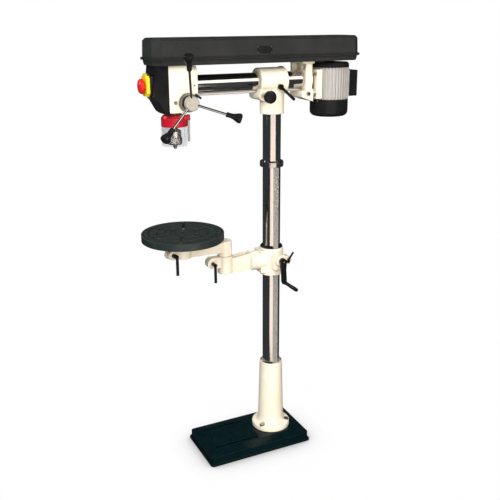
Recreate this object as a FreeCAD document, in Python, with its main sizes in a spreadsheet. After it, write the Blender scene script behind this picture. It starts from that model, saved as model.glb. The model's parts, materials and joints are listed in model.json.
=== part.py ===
"""Floor-standing radial drill press, in millimetres.

The origin is on the column's axis at the floor. +X is the side of the feed levers, -Y is the
front, where the spindle is, and +Y is the back, where the motor is. The ram lies along Y.
"""
import FreeCAD, Part
import math
import os
import re
import Sketcher

# Driving dimensions. Each is one named cell of the sheet; every other size follows from them.
DIMENSIONS = {
    # base casting
    "base_half_width": 128.5, "base_front": 332, "base_back": 126, "base_height": 50,
    "foot_height": 8, "foot_ledge": 6, "skirt_height": 38, "deck_inset": 42, "base_wall": 8,
    "base_deck": 12, "base_corner": 14, "base_slot_width": 12, "base_slot_front": 282,
    "base_slot_back": 106, "base_slot_side": 70, "base_slot_eye": 9,
    # column, its support and the ring that carries the rack
    "column_radius": 35, "column_wall": 4, "column_top": 1460, "seat_gap": 0.05,
    "support_top": 356, "support_low_radius": 55, "support_top_radius": 47,
    "flange_radius": 80, "flange_edge": 18, "bolt_circle": 67, "bolt_radius": 5, "bolt_gap": 0.1,
    "bolt_head": 7, "ring_low": 1185, "ring_height": 22, "ring_radius": 46, "ring_bevel": 3,
    "rack_width": 18, "rack_outer": 43, "part_gap": 0.3, "end_gap": 0.6, "run_gap": 0.06,
    "rack_pocket": 8,
    # gearing
    "gear_module": 1.6, "lift_teeth": 15, "ram_teeth": 12, "feed_module": 2, "feed_teeth": 13,
    "mesh_play": 0.25,
    # table bracket
    "bracket_low": 747, "bracket_top": 858, "bracket_radius": 48, "tilt_height": 810,
    "pad_radius": 38, "pad_face": 84, "crank_height": 821.8, "worm_boss_radius": 23,
    "worm_boss_end": 92, "worm_shaft_radius": 6, "worm_radius": 6.3,
    "crank_hub_radius": 14, "crank_thick": 12, "crank_reach": 86, "grip_length": 98,
    "grip_radius": 8, "clamp_slit": 3, "ear_width": 32,
    # table arm, link and table
    "arm_pivot": 204, "arm_low": 780, "arm_top": 850, "arm_boss_radius": 30, "arm_half": 20,
    "post_radius": 18, "link_top": 912, "link_length": 196.5, "link_swing": 14.7,
    "link_boss_radius": 27, "hub_low": 884, "hub_top": 950, "ear_reach": 58, "stud_radius": 5,
    "handle_radius": 5.5, "handle_drop": 70, "table_top": 981, "table_radius": 152.4,
    "table_rim": 27, "table_plate": 12, "table_slot_width": 13, "table_slot_inner": 50,
    "table_slot_outer": 126, "table_bore": 8, "table_turn": 37,
    # clamp between column and ram
    "ram_height": 1507.2, "ram_radius": 32.5, "ram_wall": 5, "barrel_radius": 50,
    "barrel_front": 64, "barrel_back": 45, "socket_radius": 46, "socket_low": 1387,
    "socket_web": 2, "pinion_y": 57, "pinion_boss_radius": 18, "pinion_shaft_radius": 6,
    "knob_radius": 23, "knob_end": 108, "ram_rack_width": 14, "ram_rack_height": 8,
    "lever_radius": 6, "ram_lever_length": 72, "column_lever_length": 82,
    # head
    "spindle_reach": 393, "head_half_width": 57, "head_front": 428, "head_back": 345,
    "head_low": 1417, "tray_low": 1577, "head_corner": 4, "collar_back": 320,
    "collar_front": 350, "collar_half_width": 52, "collar_low": 1458, "quill_radius": 20,
    "quill_low": 1372, "quill_top": 1552, "quill_travel": 80, "feed_height": 1451, "sleeve_radius": 16,
    "spindle_radius": 10, "chuck_radius": 26.5, "chuck_low": 1299, "chuck_top": 1352,
    "jaw_length": 16, "feed_boss_radius": 31, "ring_disc_radius": 33, "hub_radius": 26,
    "hub_face": 109, "lever_reach": 149, "lever_lean": 21.3, "lever_angle": 101, "feed_rod_radius": 4.5,
    "knob_length": 56, "knob_flare": 17.5,
    # chuck guard
    "guard_low": 1364, "guard_top": 1407, "guard_radius": 47, "shield_low": 1296,
    "shield_wall": 2.5,
    # belt cover and drive
    "cover_half_width": 79, "cover_front": 486, "cover_back": 346, "cover_corner": 28,
    "tray_height": 23, "lid_top": 1668, "cover_lip": 4, "cover_wall": 2.5, "cover_bevel": 9,
    "pulley_base": 1586, "pulley_step": 13, "pulley_big": 62, "pulley_shrink": 7,
    "groove_depth": 6, "motor_reach": 252,
    # motor and its mount
    "motor_radius": 74.5, "motor_core": 67, "motor_low": 1431, "motor_high": 1551,
    "bell_top": 1569, "fan_low": 1365, "fan_round": 20, "fin_count": 36, "fin_thick": 2.4,
    "mount_front": 122, "mount_back": 150, "mount_half_width": 46, "mount_low": 1428,
    "slide_rod_radius": 6, "slide_rod_side": 34, "tension_travel": 8, "plate_gap": 16,
    "plate_thick": 12, "box_reach": 366, "box_low": 1438, "box_high": 1537, "box_half_width": 27,
    # switch on the front cover
    "nose_reach": 482, "switch_low": 1473, "switch_high": 1547, "switch_half_width": 31,
    "switch_face": 487, "lid_depth": 11, "stop_radius": 26, "button_radius": 9,
}

TURN_FULL = 360
X_AXIS = FreeCAD.Vector(1, 0, 0)
Y_AXIS = FreeCAD.Vector(0, 1, 0)
Z_AXIS = FreeCAD.Vector(0, 0, 1)
UP = FreeCAD.Rotation()
DOWN = FreeCAD.Rotation(X_AXIS, 180)
RIGHT = FreeCAD.Rotation(Y_AXIS, 90)
LEFT = FreeCAD.Rotation(Y_AXIS, -90)
FRONT = FreeCAD.Rotation(X_AXIS, 90)
BACK = FreeCAD.Rotation(X_AXIS, -90)

doc = FreeCAD.newDocument("RadialDrillPress")
sheet = doc.addObject("Spreadsheet::Sheet", "Sizes")
for row, (alias, number) in enumerate(DIMENSIONS.items(), start=1):
    sheet.set(f"A{row}", alias)
    sheet.set(f"B{row}", str(number))
    sheet.setAlias(f"B{row}", alias)
doc.recompute()

nodes = []


# ---------------------------------------------------------------- helpers

def size(alias):
    """The number in one named cell."""
    return float(sheet.get(alias))


def linked(expression):
    """Points each size name in an expression at its cell."""
    def cell(word):
        return "Sizes." + word.group() if word.group() in DIMENSIONS else word.group()
    return re.sub(r"[a-z]\w*", cell, str(expression))


def place(thing, at=(0, 0, 0), turn=UP):
    """Turns a thing about its own origin and binds that origin to a point."""
    thing.Placement = FreeCAD.Placement(FreeCAD.Vector(), turn)
    for axis, expression in zip("xyz", at):
        thing.setExpression("Placement.Base." + axis, linked(expression))
    return thing


def node(thing, label):
    """Names a finished sub-part."""
    thing.Label = label
    nodes.append(thing)
    return thing


def cylinder(radius, length, at=(0, 0, 0), turn=UP):
    thing = doc.addObject("Part::Cylinder", "Cylinder")
    thing.setExpression("Radius", linked(radius))
    thing.setExpression("Height", linked(length))
    return place(thing, at, turn)


def cone(radius, end_radius, length, at=(0, 0, 0), turn=UP):
    thing = doc.addObject("Part::Cone", "Cone")
    thing.setExpression("Radius1", linked(radius))
    thing.setExpression("Radius2", linked(end_radius))
    thing.setExpression("Height", linked(length))
    return place(thing, at, turn)


def box(x, y, z, turn=UP):
    """A block between two bounds on each axis."""
    thing = doc.addObject("Part::Box", "Box")
    for name, (low, high) in zip(("Length", "Width", "Height"), (x, y, z)):
        thing.setExpression(name, linked(f"({high})-({low})"))
    return place(thing, (x[0], y[0], z[0]), turn)


def hexagon(radius, length, at=(0, 0, 0), turn=UP):
    thing = doc.addObject("Part::Prism", "Hexagon")
    thing.Polygon = 6
    thing.setExpression("Circumradius", linked(radius))
    thing.setExpression("Height", linked(length))
    return place(thing, at, turn)


def fuse(*things):
    joined = doc.addObject("Part::MultiFuse", "Fuse")
    joined.Shapes = list(things)
    return joined


def cut(base, *tools):
    """Takes the tools away from the base."""
    result = doc.addObject("Part::Cut", "Cut")
    result.Base = base
    result.Tool = tools[0] if len(tools) == 1 else fuse(*tools)
    return result


def group(*things):
    """Separate solids kept as one sub-part."""
    bundle = doc.addObject("Part::Compound", "Group")
    bundle.Links = list(things)
    return bundle


def origin_plane(body, role):
    return next(item for item in body.Origin.OriginFeatures if item.Role == role)


def outline(body, role, points):
    """A closed polygon whose corners are bound to the sheet."""
    sketch = body.newObject("Sketcher::SketchObject", "Outline")
    sketch.AttachmentSupport = (origin_plane(body, role), [""])
    sketch.MapMode = "FlatFace"
    count = len(points)
    corners = []
    for index in range(count):
        angle = 2 * math.pi * index / count
        corners.append(FreeCAD.Vector(math.cos(angle), math.sin(angle), 0))
    for index in range(count):
        sketch.addGeometry(Part.LineSegment(corners[index], corners[(index + 1) % count]), False)
    for index in range(count):
        sketch.addConstraint(Sketcher.Constraint("Coincident", index, 2, (index + 1) % count, 1))
    for index, point in enumerate(points):
        for kind, expression in zip(("DistanceX", "DistanceY"), point):
            number = sketch.addConstraint(Sketcher.Constraint(kind, -1, 1, index, 1, 1.0))
            sketch.setExpression(f"Constraints[{number}]", linked(expression))
    return sketch


def lathe(points, at=(0, 0, 0), turn=UP):
    """A turned piece: its outline is given as (radius, height) and spun about its own Z."""
    body = doc.addObject("PartDesign::Body", "Turned")
    sketch = outline(body, "XZ_Plane", points)
    feature = body.newObject("PartDesign::Revolution", "Revolution")
    feature.Profile = sketch
    feature.ReferenceAxis = (sketch, ["V_Axis"])
    feature.Angle = TURN_FULL
    return place(body, at, turn)


def prism(points, length, at=(0, 0, 0), turn=UP, taper=0):
    """A plate with a polygon outline, padded along its own Z."""
    body = doc.addObject("PartDesign::Body", "Plate")
    sketch = outline(body, "XY_Plane", points)
    feature = body.newObject("PartDesign::Pad", "Pad")
    feature.Profile = sketch
    feature.setExpression("Length", linked(length))
    feature.TaperAngle = taper
    return place(body, at, turn)


def side_prism(points, half_width, middle="0"):
    """A plate with an outline of (y, z) points, padded along X to each side of a middle."""
    turn = FreeCAD.Rotation(FreeCAD.Vector(1, 1, 1), 120)
    return prism(points, f"2*({half_width})", (f"({middle})-({half_width})", 0, 0), turn)


def tube(outer, inner, length, at=(0, 0, 0), turn=UP):
    return lathe([(inner, 0), (outer, 0), (outer, length), (inner, length)], at, turn)


def eased(base, kind, amount, chooses):
    """Rounds (Fillet) or bevels (Chamfer) the edges that chooses(edge) picks."""
    doc.recompute()
    picked = [(index, amount, amount)
              for index, edge in enumerate(base.Shape.Edges, start=1) if chooses(edge)]
    result = doc.addObject("Part::" + kind, kind)
    result.Base = base
    result.Edges = picked
    return result


def is_upright(edge):
    start, end = edge.Vertexes[0].Point, edge.Vertexes[-1].Point
    return abs(start.z - end.z) > 1 and edge.Curve.TypeId == "Part::GeomLine"


def is_at_height(height):
    """Picks the edges that lie wholly at one height."""
    return lambda edge: all(abs(vertex.Z - height) < 0.01 for vertex in edge.Vertexes)


def plain(shape):
    """A sub-part whose shape is computed point by point."""
    thing = doc.addObject("Part::Feature", "Computed")
    thing.Shape = shape
    return thing


def gear_face(teeth, module):
    """A spur gear's outline with straight-sided teeth, thinned by the play of the mesh."""
    pitch_radius = teeth * module / 2
    play = size("mesh_play")
    points = []
    for tooth in range(teeth):
        middle = 2 * math.pi * tooth / teeth
        for side in (-1, 1):
            flank = [(pitch_radius - 1.15 * module, 0.40), (pitch_radius, 0.25),
                     (pitch_radius + 0.85 * module, 0.13)]
            for radius, share in flank if side < 0 else reversed(flank):
                half = (share * math.pi * module - play / 2) / pitch_radius
                angle = middle + side * half
                points.append(FreeCAD.Vector(radius * math.cos(angle), radius * math.sin(angle), 0))
    return Part.Face(Part.makePolygon(points + points[:1]))


def rack_points(length, module, first_tooth, back):
    """A rack's side outline: (along, outward) points, its pitch line at outward 0.

    first_tooth is the place of one tooth's middle; back is how far the rack reaches behind.
    """
    pitch = math.pi * module
    play = size("mesh_play")
    count = int((length - first_tooth) // pitch)
    start = first_tooth - pitch * int(first_tooth // pitch) + pitch
    points = [(0, -back), (0, -1.15 * module)]
    middle = start
    while middle + pitch / 2 < length:
        root, tip = 0.40 * pitch - play / 2, 0.13 * pitch - play / 2
        points += [(middle - root, -1.15 * module), (middle - tip, 0.85 * module),
                   (middle + tip, 0.85 * module), (middle + root, -1.15 * module)]
        middle += pitch
    points += [(length, -1.15 * module), (length, -back)]
    return points


def cut_corners(x, y, corner):
    """A rectangle's outline with its corners cut off at 45 degrees."""
    (left, right), (front, back) = x, y
    return [(f"{left}+{corner}", front), (f"{right}-({corner})", front),
            (right, f"{front}+{corner}"), (right, f"{back}-({corner})"),
            (f"{right}-({corner})", back), (f"{left}+{corner}", back),
            (left, f"{back}-({corner})"), (left, f"{front}+{corner}")]


# ---------------------------------------------------------------- stand

def make_base():
    foot = box(("-base_half_width", "base_half_width"), ("-base_front", "base_back"),
               ("0", "foot_height"))
    skirt_x = ("-base_half_width+foot_ledge", "base_half_width-foot_ledge")
    skirt_y = ("-base_front+foot_ledge", "base_back-foot_ledge")
    skirt = box(skirt_x, skirt_y, ("0", "skirt_height"))
    rounded = [eased(piece, "Fillet", size("base_corner"), is_upright) for piece in (foot, skirt)]
    rise = size("base_height") - size("skirt_height")
    run = size("deck_inset") - size("foot_ledge")
    slope = -math.degrees(math.atan2(run, rise))
    deck = prism(cut_corners(skirt_x, skirt_y, "base_corner"), "base_height-skirt_height",
                 (0, 0, "skirt_height"), UP, slope)
    wall = "foot_ledge+base_wall"
    hollow = box((f"-base_half_width+{wall}", f"base_half_width-({wall})"),
                 (f"-base_front+{wall}", f"base_back-({wall})"),
                 ("-1", "base_height-base_deck"))
    boss = cylinder("column_radius+12", "skirt_height+1")
    cuts = []
    for side in ("-1", "1"):
        middle = f"{side}*base_slot_side"
        cuts.append(box((f"{middle}-base_slot_width/2", f"{middle}+base_slot_width/2"),
                        ("-base_slot_front", "-base_slot_back"), ("0", "base_height+1")))
        cuts.append(cylinder("base_slot_width/2", "base_height", (middle, "-base_slot_back", 1)))
        cuts.append(cylinder("base_slot_eye", "base_height", (middle, "-base_slot_front", 1)))
    for x, y in bolt_places():
        cuts.append(cylinder("bolt_radius+bolt_gap", "base_height", (x, y, 1)))
    shell = cut(fuse(*rounded, deck), hollow)
    node(cut(fuse(shell, boss), *cuts), "base")


def bolt_places():
    return [(f"bolt_circle*cos({angle})", f"bolt_circle*sin({angle})") for angle in (-60, 60, 180)]


def make_support():
    bore = "column_radius+seat_gap"
    recess = "rack_outer+end_gap+0.7"
    floor = "support_top-rack_pocket-end_gap"
    edge = "base_height+flange_edge"
    tube_body = lathe([
        (bore, "base_height"), ("flange_radius-1.5", "base_height"),
        ("flange_radius", "base_height+1.5"), ("flange_radius", f"{edge}"),
        ("flange_radius-4", f"{edge}+4"), ("support_low_radius+6", f"{edge}+8"),
        ("support_low_radius+1", f"{edge}+16"), ("support_low_radius-1", f"{edge}+30"),
        ("support_top_radius", "support_top-1"), ("support_top_radius-1", "support_top"),
        (recess, "support_top"), (recess, floor), (bore, floor)])
    cuts = []
    for x, y in bolt_places():
        cuts.append(cylinder("bolt_radius+bolt_gap", "100", (x, y, "base_height-1")))
        cuts.append(cylinder("11.5", "30", (x, y, edge)))
    node(cut(tube_body, *cuts), "column_support")

    bolts = []
    for x, y in bolt_places():
        bolts.append(fuse(
            cylinder("bolt_radius", "flange_edge+base_deck", (x, y, "base_height-base_deck")),
            cylinder("10.5", "1.6", (x, y, edge)),
            hexagon("9.8", "bolt_head", (x, y, f"{edge}+1.6"))))
    return bolts


def make_column():
    node(tube("column_radius", "column_radius-column_wall", "column_top-base_height",
              (0, 0, "base_height")), "column")
    bore = "column_radius+seat_gap"
    recess = "rack_outer+end_gap+0.7"
    ring = lathe([
        (recess, 0), ("ring_radius-ring_bevel/3", 0), ("ring_radius", "ring_bevel/3"),
        ("ring_radius", "ring_height-ring_bevel"), ("ring_radius-ring_bevel", "ring_height"),
        (bore, "ring_height"), (bore, "rack_pocket"), (recess, "rack_pocket")],
        (0, 0, "ring_low"))
    screws, holes = [], []
    for angle in (-35, 145):
        turn = FreeCAD.Rotation(Z_AXIS, angle).multiply(RIGHT)
        at = (f"column_radius*cos({angle})", f"column_radius*sin({angle})",
              "ring_low+ring_height*0.62")
        screws.append(cut(cylinder("3.5", "ring_radius-column_radius-0.6", at, turn),
                          hexagon("2.2", "30", (f"(ring_radius-4)*cos({angle})",
                                                f"(ring_radius-4)*sin({angle})",
                                                "ring_low+ring_height*0.62"), turn)))
        holes.append(cylinder("3.5+seat_gap", "30", at, turn))
    node(cut(ring, *holes), "rack_ring")
    return screws


def lift_gear_x():
    return size("rack_outer") - 0.85 * size("gear_module") + gear_pitch("lift_teeth", "gear_module")


def gear_pitch(teeth, module):
    return size(teeth) * size(module) / 2


def lift_gear_z():
    return size("crank_height") - 19.8


def make_column_rack():
    low = size("support_top") - size("rack_pocket")
    high = size("ring_low") + size("rack_pocket") - size("end_gap")
    pitch_x = size("rack_outer") - 0.85 * size("gear_module")
    pitch = math.pi * size("gear_module")
    first = (lift_gear_z() - low + pitch / 2) % pitch
    points = rack_points(high - low, size("gear_module"), first, pitch_x - size("column_radius") + 4)
    half = size("rack_width") / 2
    corners = [FreeCAD.Vector(pitch_x + out, -half, low + along) for along, out in points]
    face = Part.Face(Part.makePolygon(corners + corners[:1]))
    blank = face.extrude(FreeCAD.Vector(0, 2 * half, 0))
    bore = Part.makeCylinder(size("column_radius") + size("part_gap"), high - low + 2,
                             FreeCAD.Vector(0, 0, low - 1))
    node(plain(blank.cut(bore)), "column_rack")


# ---------------------------------------------------------------- table side

def clamp_ears(x, y, reach, low, high, way="-1"):
    """Two ears joined at a round end that a clamp bolt squeezes; the slit is cut later."""
    middle = f"({low}+{high})/2"
    end = f"({y})+({way})*({reach})"
    half = f"({high}-({low}))/2"
    block = box((f"({x})-ear_width/2", f"({x})+ear_width/2"),
                ((f"{end}", y) if way == "-1" else (y, end)), (low, high))
    tip = cylinder(half, "ear_width", (f"({x})-ear_width/2", end, middle), RIGHT)
    return [block, tip]


def make_bracket():
    barrel = lathe([
        ("column_radius+run_gap", 0), ("bracket_radius-2", 0), ("bracket_radius", 2),
        ("bracket_radius", "bracket_top-bracket_low-3"),
        ("bracket_radius-3", "bracket_top-bracket_low"),
        ("column_radius+run_gap", "bracket_top-bracket_low")], (0, 0, "bracket_low"))
    gear_x, gear_z = lift_gear_x(), lift_gear_z()
    pad = cylinder("pad_radius", "pad_face-20", (0, -20, "tilt_height"), FRONT)
    neck = box(("-30", "30"), ("-60", "-20"), ("bracket_low+14", "bracket_top-6"))
    boss = cylinder("worm_boss_radius", "worm_boss_end-30", ("30", 0, "crank_height"), RIGHT)
    housing = box(("30", "74"), ("-24", "24"), (f"{gear_z}-20", "crank_height+16"))
    ears = clamp_ears("0", "40", "26", "bracket_low+24", "bracket_low+64", "1")
    bore = cylinder("column_radius+run_gap", "200", (0, 0, "bracket_low-40"))
    slot = box(("0", "rack_outer+part_gap"), ("-rack_width/2-part_gap", "rack_width/2+part_gap"),
               ("bracket_low-5", "bracket_top+5"))
    gear_room = cylinder("15.5", "21", (gear_x, "-10.5", gear_z), BACK)
    pin_hole = cylinder("5+run_gap", "44", (gear_x, "-22", gear_z), BACK)
    worm_room = cylinder("worm_radius+part_gap", "24", ("rack_outer", 0, "crank_height"), RIGHT)
    worm_bore = cylinder("worm_shaft_radius+run_gap", "60", ("rack_outer", 0, "crank_height"), RIGHT)
    slit = box(("-clamp_slit/2", "clamp_slit/2"), ("20", "120"), ("bracket_low-1", "bracket_top+1"))
    bolt_hole = cylinder("stud_radius+run_gap", "60", ("-30", "66", "bracket_low+44"), RIGHT)
    tilt_hole = cylinder("8", "60", (0, "-pad_face+24", "tilt_height"), FRONT)
    node(cut(fuse(barrel, pad, neck, boss, housing, *ears), bore, slot, gear_room, pin_hole,
             worm_room, worm_bore, slit, bolt_hole, tilt_hole), "table_bracket")

    worm = [cylinder("worm_shaft_radius", "worm_boss_end+2-rack_outer",
                     ("rack_outer+1", 0, "crank_height"), RIGHT)]
    for ring_index in range(4):
        worm.append(cone("worm_radius-2", "worm_radius", "1.6",
                         (f"46+{ring_index}*4.6", 0, "crank_height"), RIGHT))
        worm.append(cone("worm_radius", "worm_radius-2", "1.6",
                         (f"47.6+{ring_index}*4.6", 0, "crank_height"), RIGHT))
    worm.append(cylinder("4", "crank_thick+4",
                         ("worm_boss_end+3", 0, "crank_height"), RIGHT))
    node(fuse(*worm), "worm_shaft")

    gear = gear_face(int(size("lift_teeth")), size("gear_module"))
    gear.rotate(FreeCAD.Vector(), Z_AXIS, 180)
    gear.rotate(FreeCAD.Vector(), X_AXIS, -90)
    gear.translate(FreeCAD.Vector(gear_x, -10, gear_z))
    wheel = plain(gear.extrude(FreeCAD.Vector(0, 20, 0)))
    pin = cylinder("5", "42", (gear_x, "-21", gear_z), BACK)
    node(fuse(wheel, pin), "lift_gear")

    stud = cylinder("stud_radius", "ear_width+16", ("-ear_width/2-6", "66", "bracket_low+44"), RIGHT)
    nut = hexagon("8.5", "5.5", ("-ear_width/2-6", "66", "bracket_low+44"), RIGHT)
    hub = cylinder("8", "10", ("ear_width/2+0.5", "66", "bracket_low+44"), RIGHT)
    bar = cylinder("4", "42", ("ear_width/2+5.5", "66", "bracket_low+44"),
                   FreeCAD.Rotation(X_AXIS, -35))
    node(fuse(stud, nut, hub, bar), "bracket_lock")


def make_crank():
    hub_x = "worm_boss_end+3"
    low = "crank_height-crank_reach"
    arm = side_prism([
        ("-13", "crank_height-2"), ("-11", "crank_height-20"), ("-6", "crank_height-48"),
        ("-5", f"{low}+4"), ("-1", f"{low}-7"), ("9", f"{low}-9"), ("15", f"{low}-2"),
        ("14", f"{low}+20"), ("12", "crank_height-36"), ("13", "crank_height-14"),
        ("13", "crank_height")], "crank_thick/2", f"{hub_x}+crank_thick/2")
    hub = cylinder("crank_hub_radius", "crank_thick+2", (hub_x, 0, "crank_height"), RIGHT)
    pin = cylinder("4", "grip_length+crank_thick-8", (hub_x, 6, low), RIGHT)
    bore = cylinder("4.02", "60", (f"{hub_x}-10", 0, "crank_height"), RIGHT)
    node(cut(fuse(arm, hub, pin), bore), "table_crank")
    start = f"{hub_x}+crank_thick+part_gap"
    grip = lathe([
        ("4+run_gap", 0), ("grip_radius-2", 0), ("grip_radius-0.5", 2), ("grip_radius-1", 30),
        ("grip_radius", "grip_length-16"), ("grip_radius-1.5", "grip_length-4"),
        ("grip_radius-5", "grip_length"), (0, "grip_length"), (0, "grip_length-7"),
        ("4+run_gap", "grip_length-7")], (start, 6, low), RIGHT)
    node(grip, "crank_grip")


def make_arm():
    face = "-pad_face-part_gap"
    pad = cylinder("pad_radius", "17", (0, face, "tilt_height"), FRONT)
    web = side_prism([(f"{face}-8", "arm_low-5"), (f"{face}-8", "arm_top-2"),
                      ("-arm_pivot+10", "arm_top-14"), ("-arm_pivot+10", "arm_low+2")], "arm_half")
    boss = cylinder("arm_boss_radius", "arm_top-arm_low", (0, "-arm_pivot", "arm_low"))
    ears = clamp_ears("0", "-arm_pivot-10", "ear_reach-10", "arm_low+26", "arm_top-2")
    bore = cylinder("post_radius+run_gap", "200", (0, "-arm_pivot", "arm_low-20"))
    window = box(("-16.5", "16.5"), ("-arm_pivot+40", f"{face}-17"), ("tilt_height-17", "arm_top+5"))
    bolt_hole = cylinder("8+run_gap", "80", (0, "-60", "tilt_height"), FRONT)
    slit = box(("-clamp_slit/2", "clamp_slit/2"), ("-arm_pivot-150", "-arm_pivot"),
               ("arm_low-1", "arm_top+1"))
    stud_hole = cylinder("stud_radius+run_gap", "80",
                         ("-40", "-arm_pivot-ear_reach", "(arm_low+arm_top)/2+12"), RIGHT)
    node(cut(fuse(pad, web, boss, *ears), bore, window, bolt_hole, slit, stud_hole), "table_arm")

    bolt = cylinder("8", "44", (0, "-pad_face+24", "tilt_height"), FRONT)
    head = hexagon("13.5", "9", (0, f"{face}-17-part_gap-1", "tilt_height"), FRONT)
    node(fuse(bolt, head, cylinder("13.8", "1.2", (0, f"{face}-17-part_gap", "tilt_height"), FRONT)),
         "tilt_bolt")


def lock_handle(at, turn=UP):
    """A bent clamp handle: a stud along X with a bar hanging from its outer end."""
    stud = cylinder("stud_radius", "ear_width+20", ("-ear_width/2-9", 0, 0), RIGHT)
    nut = hexagon("8.5", "6", ("-ear_width/2-7.5", 0, 0), RIGHT)
    hub = cylinder("stud_radius+2.5", "24", ("ear_width/2+0.5", 0, 0), RIGHT)
    elbow = doc.addObject("Part::Sphere", "Elbow")
    elbow.setExpression("Radius", linked("handle_radius+1"))
    place(elbow, ("ear_width/2+24", 0, 0))
    bar = cylinder("handle_radius", "handle_drop", ("ear_width/2+24", 0, "-handle_drop"))
    return place(fuse(stud, nut, hub, elbow, bar), at, turn)


def link_turn():
    return FreeCAD.Rotation(Z_AXIS, size("link_swing"))


def make_link():
    low = "arm_top+part_gap"
    post = cylinder("post_radius", "link_top-arm_low-10", (0, 0, "arm_low+10"))
    boss = lathe([(0, 0), ("link_boss_radius-1", 0), ("link_boss_radius", 1),
                  ("link_boss_radius", f"link_top-({low})-3"),
                  ("link_boss_radius-3", f"link_top-({low})"), (0, f"link_top-({low})")],
                 (0, 0, low))
    web = side_prism([("0", "link_top-46"), ("-link_length", "hub_low+3"),
                      ("-link_length", "hub_low+44"), ("0", "link_top-4")], "21")
    hub = cylinder("arm_boss_radius", "hub_top-hub_low", (0, "-link_length", "hub_low"))
    ears = clamp_ears("0", "-link_length-10", "ear_reach-12", "hub_low+4", "hub_low+40")
    bore = cylinder("post_radius+run_gap", "200", (0, "-link_length", "hub_low-20"))
    slit = box(("-clamp_slit/2", "clamp_slit/2"), ("-link_length-150", "-link_length"),
               ("hub_low-1", "hub_top+1"))
    stud_hole = cylinder("stud_radius+run_gap", "80",
                         ("-40", "-link_length-ear_reach+2", "hub_low+22"), RIGHT)
    link = cut(fuse(post, boss, web, hub, *ears), bore, slit, stud_hole)
    node(place(link, (0, "-arm_pivot", 0), link_turn()), "table_link")
    node(lock_handle((0, "-arm_pivot-ear_reach", "(arm_low+arm_top)/2+12")), "arm_lock_handle")
    handle = lock_handle((0, "-link_length-ear_reach+2", "hub_low+22"))
    node(place(group(handle), (0, "-arm_pivot", 0), link_turn()), "table_lock_handle")


def make_table():
    centre_x = "link_length*sin(link_swing)"
    centre_y = "-arm_pivot-link_length*cos(link_swing)"
    disc = lathe([
        (0, "-table_plate"), ("table_radius-14", "-table_plate"), ("table_radius-12", "-table_rim"),
        ("table_radius-1", "-table_rim"), ("table_radius", "1-table_rim"), ("table_radius", "-1"),
        ("table_radius-1", 0), (0, 0)])
    boss = cylinder("34", "table_top-hub_top-2", (0, 0, "hub_top+2-table_top"))
    stem = cylinder("post_radius", "table_top-hub_low-4", (0, 0, "hub_low-table_top"))
    ribs = [box(("20", "table_radius-8"), ("-4", "4"), ("-table_rim+3", "-table_plate/2"))
            for _ in range(3)]
    cuts = [cylinder("table_bore", "50", (0, 0, "-30"))]
    for groove_radius in (66, 90, 112, 137):
        cuts.append(tube(f"{groove_radius}+1.1", f"{groove_radius}-1.1", "3", (0, 0, "-0.9")))
    slots = []
    length = "table_slot_outer-table_slot_inner"
    for index in range(6):
        angle = index * 60
        turn = FreeCAD.Rotation(Z_AXIS, angle)
        slot = fuse(box(("table_slot_inner", "table_slot_outer"),
                        ("-table_slot_width/2", "table_slot_width/2"), ("-60", "5")),
                    cylinder("table_slot_width/2", "65", ("table_slot_inner", 0, "-60")),
                    cylinder("table_slot_width/2", "65", ("table_slot_outer", 0, "-60")))
        slots.append(place(slot, (0, 0, 0), turn))
    for index, rib in enumerate(ribs):
        ribs[index] = place(fuse(rib, cylinder("5", "6", (30, 0, "-table_rim+3"))), (0, 0, 0),
                            FreeCAD.Rotation(Z_AXIS, 30 + 120 * index))
    table = cut(fuse(disc, boss, stem, *ribs), *cuts, *slots)
    turn = FreeCAD.Rotation(Z_AXIS, size("table_turn"))
    node(place(table, (centre_x, centre_y, "table_top"), turn), "table")

# ---------------------------------------------------------------- clamp and ram

def ram_pinion_z():
    top = size("ram_height") - size("ram_radius") - size("part_gap")
    pitch_line = top - size("ram_rack_height") + 0.85 * size("gear_module")
    return pitch_line - gear_pitch("ram_teeth", "gear_module")


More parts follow.
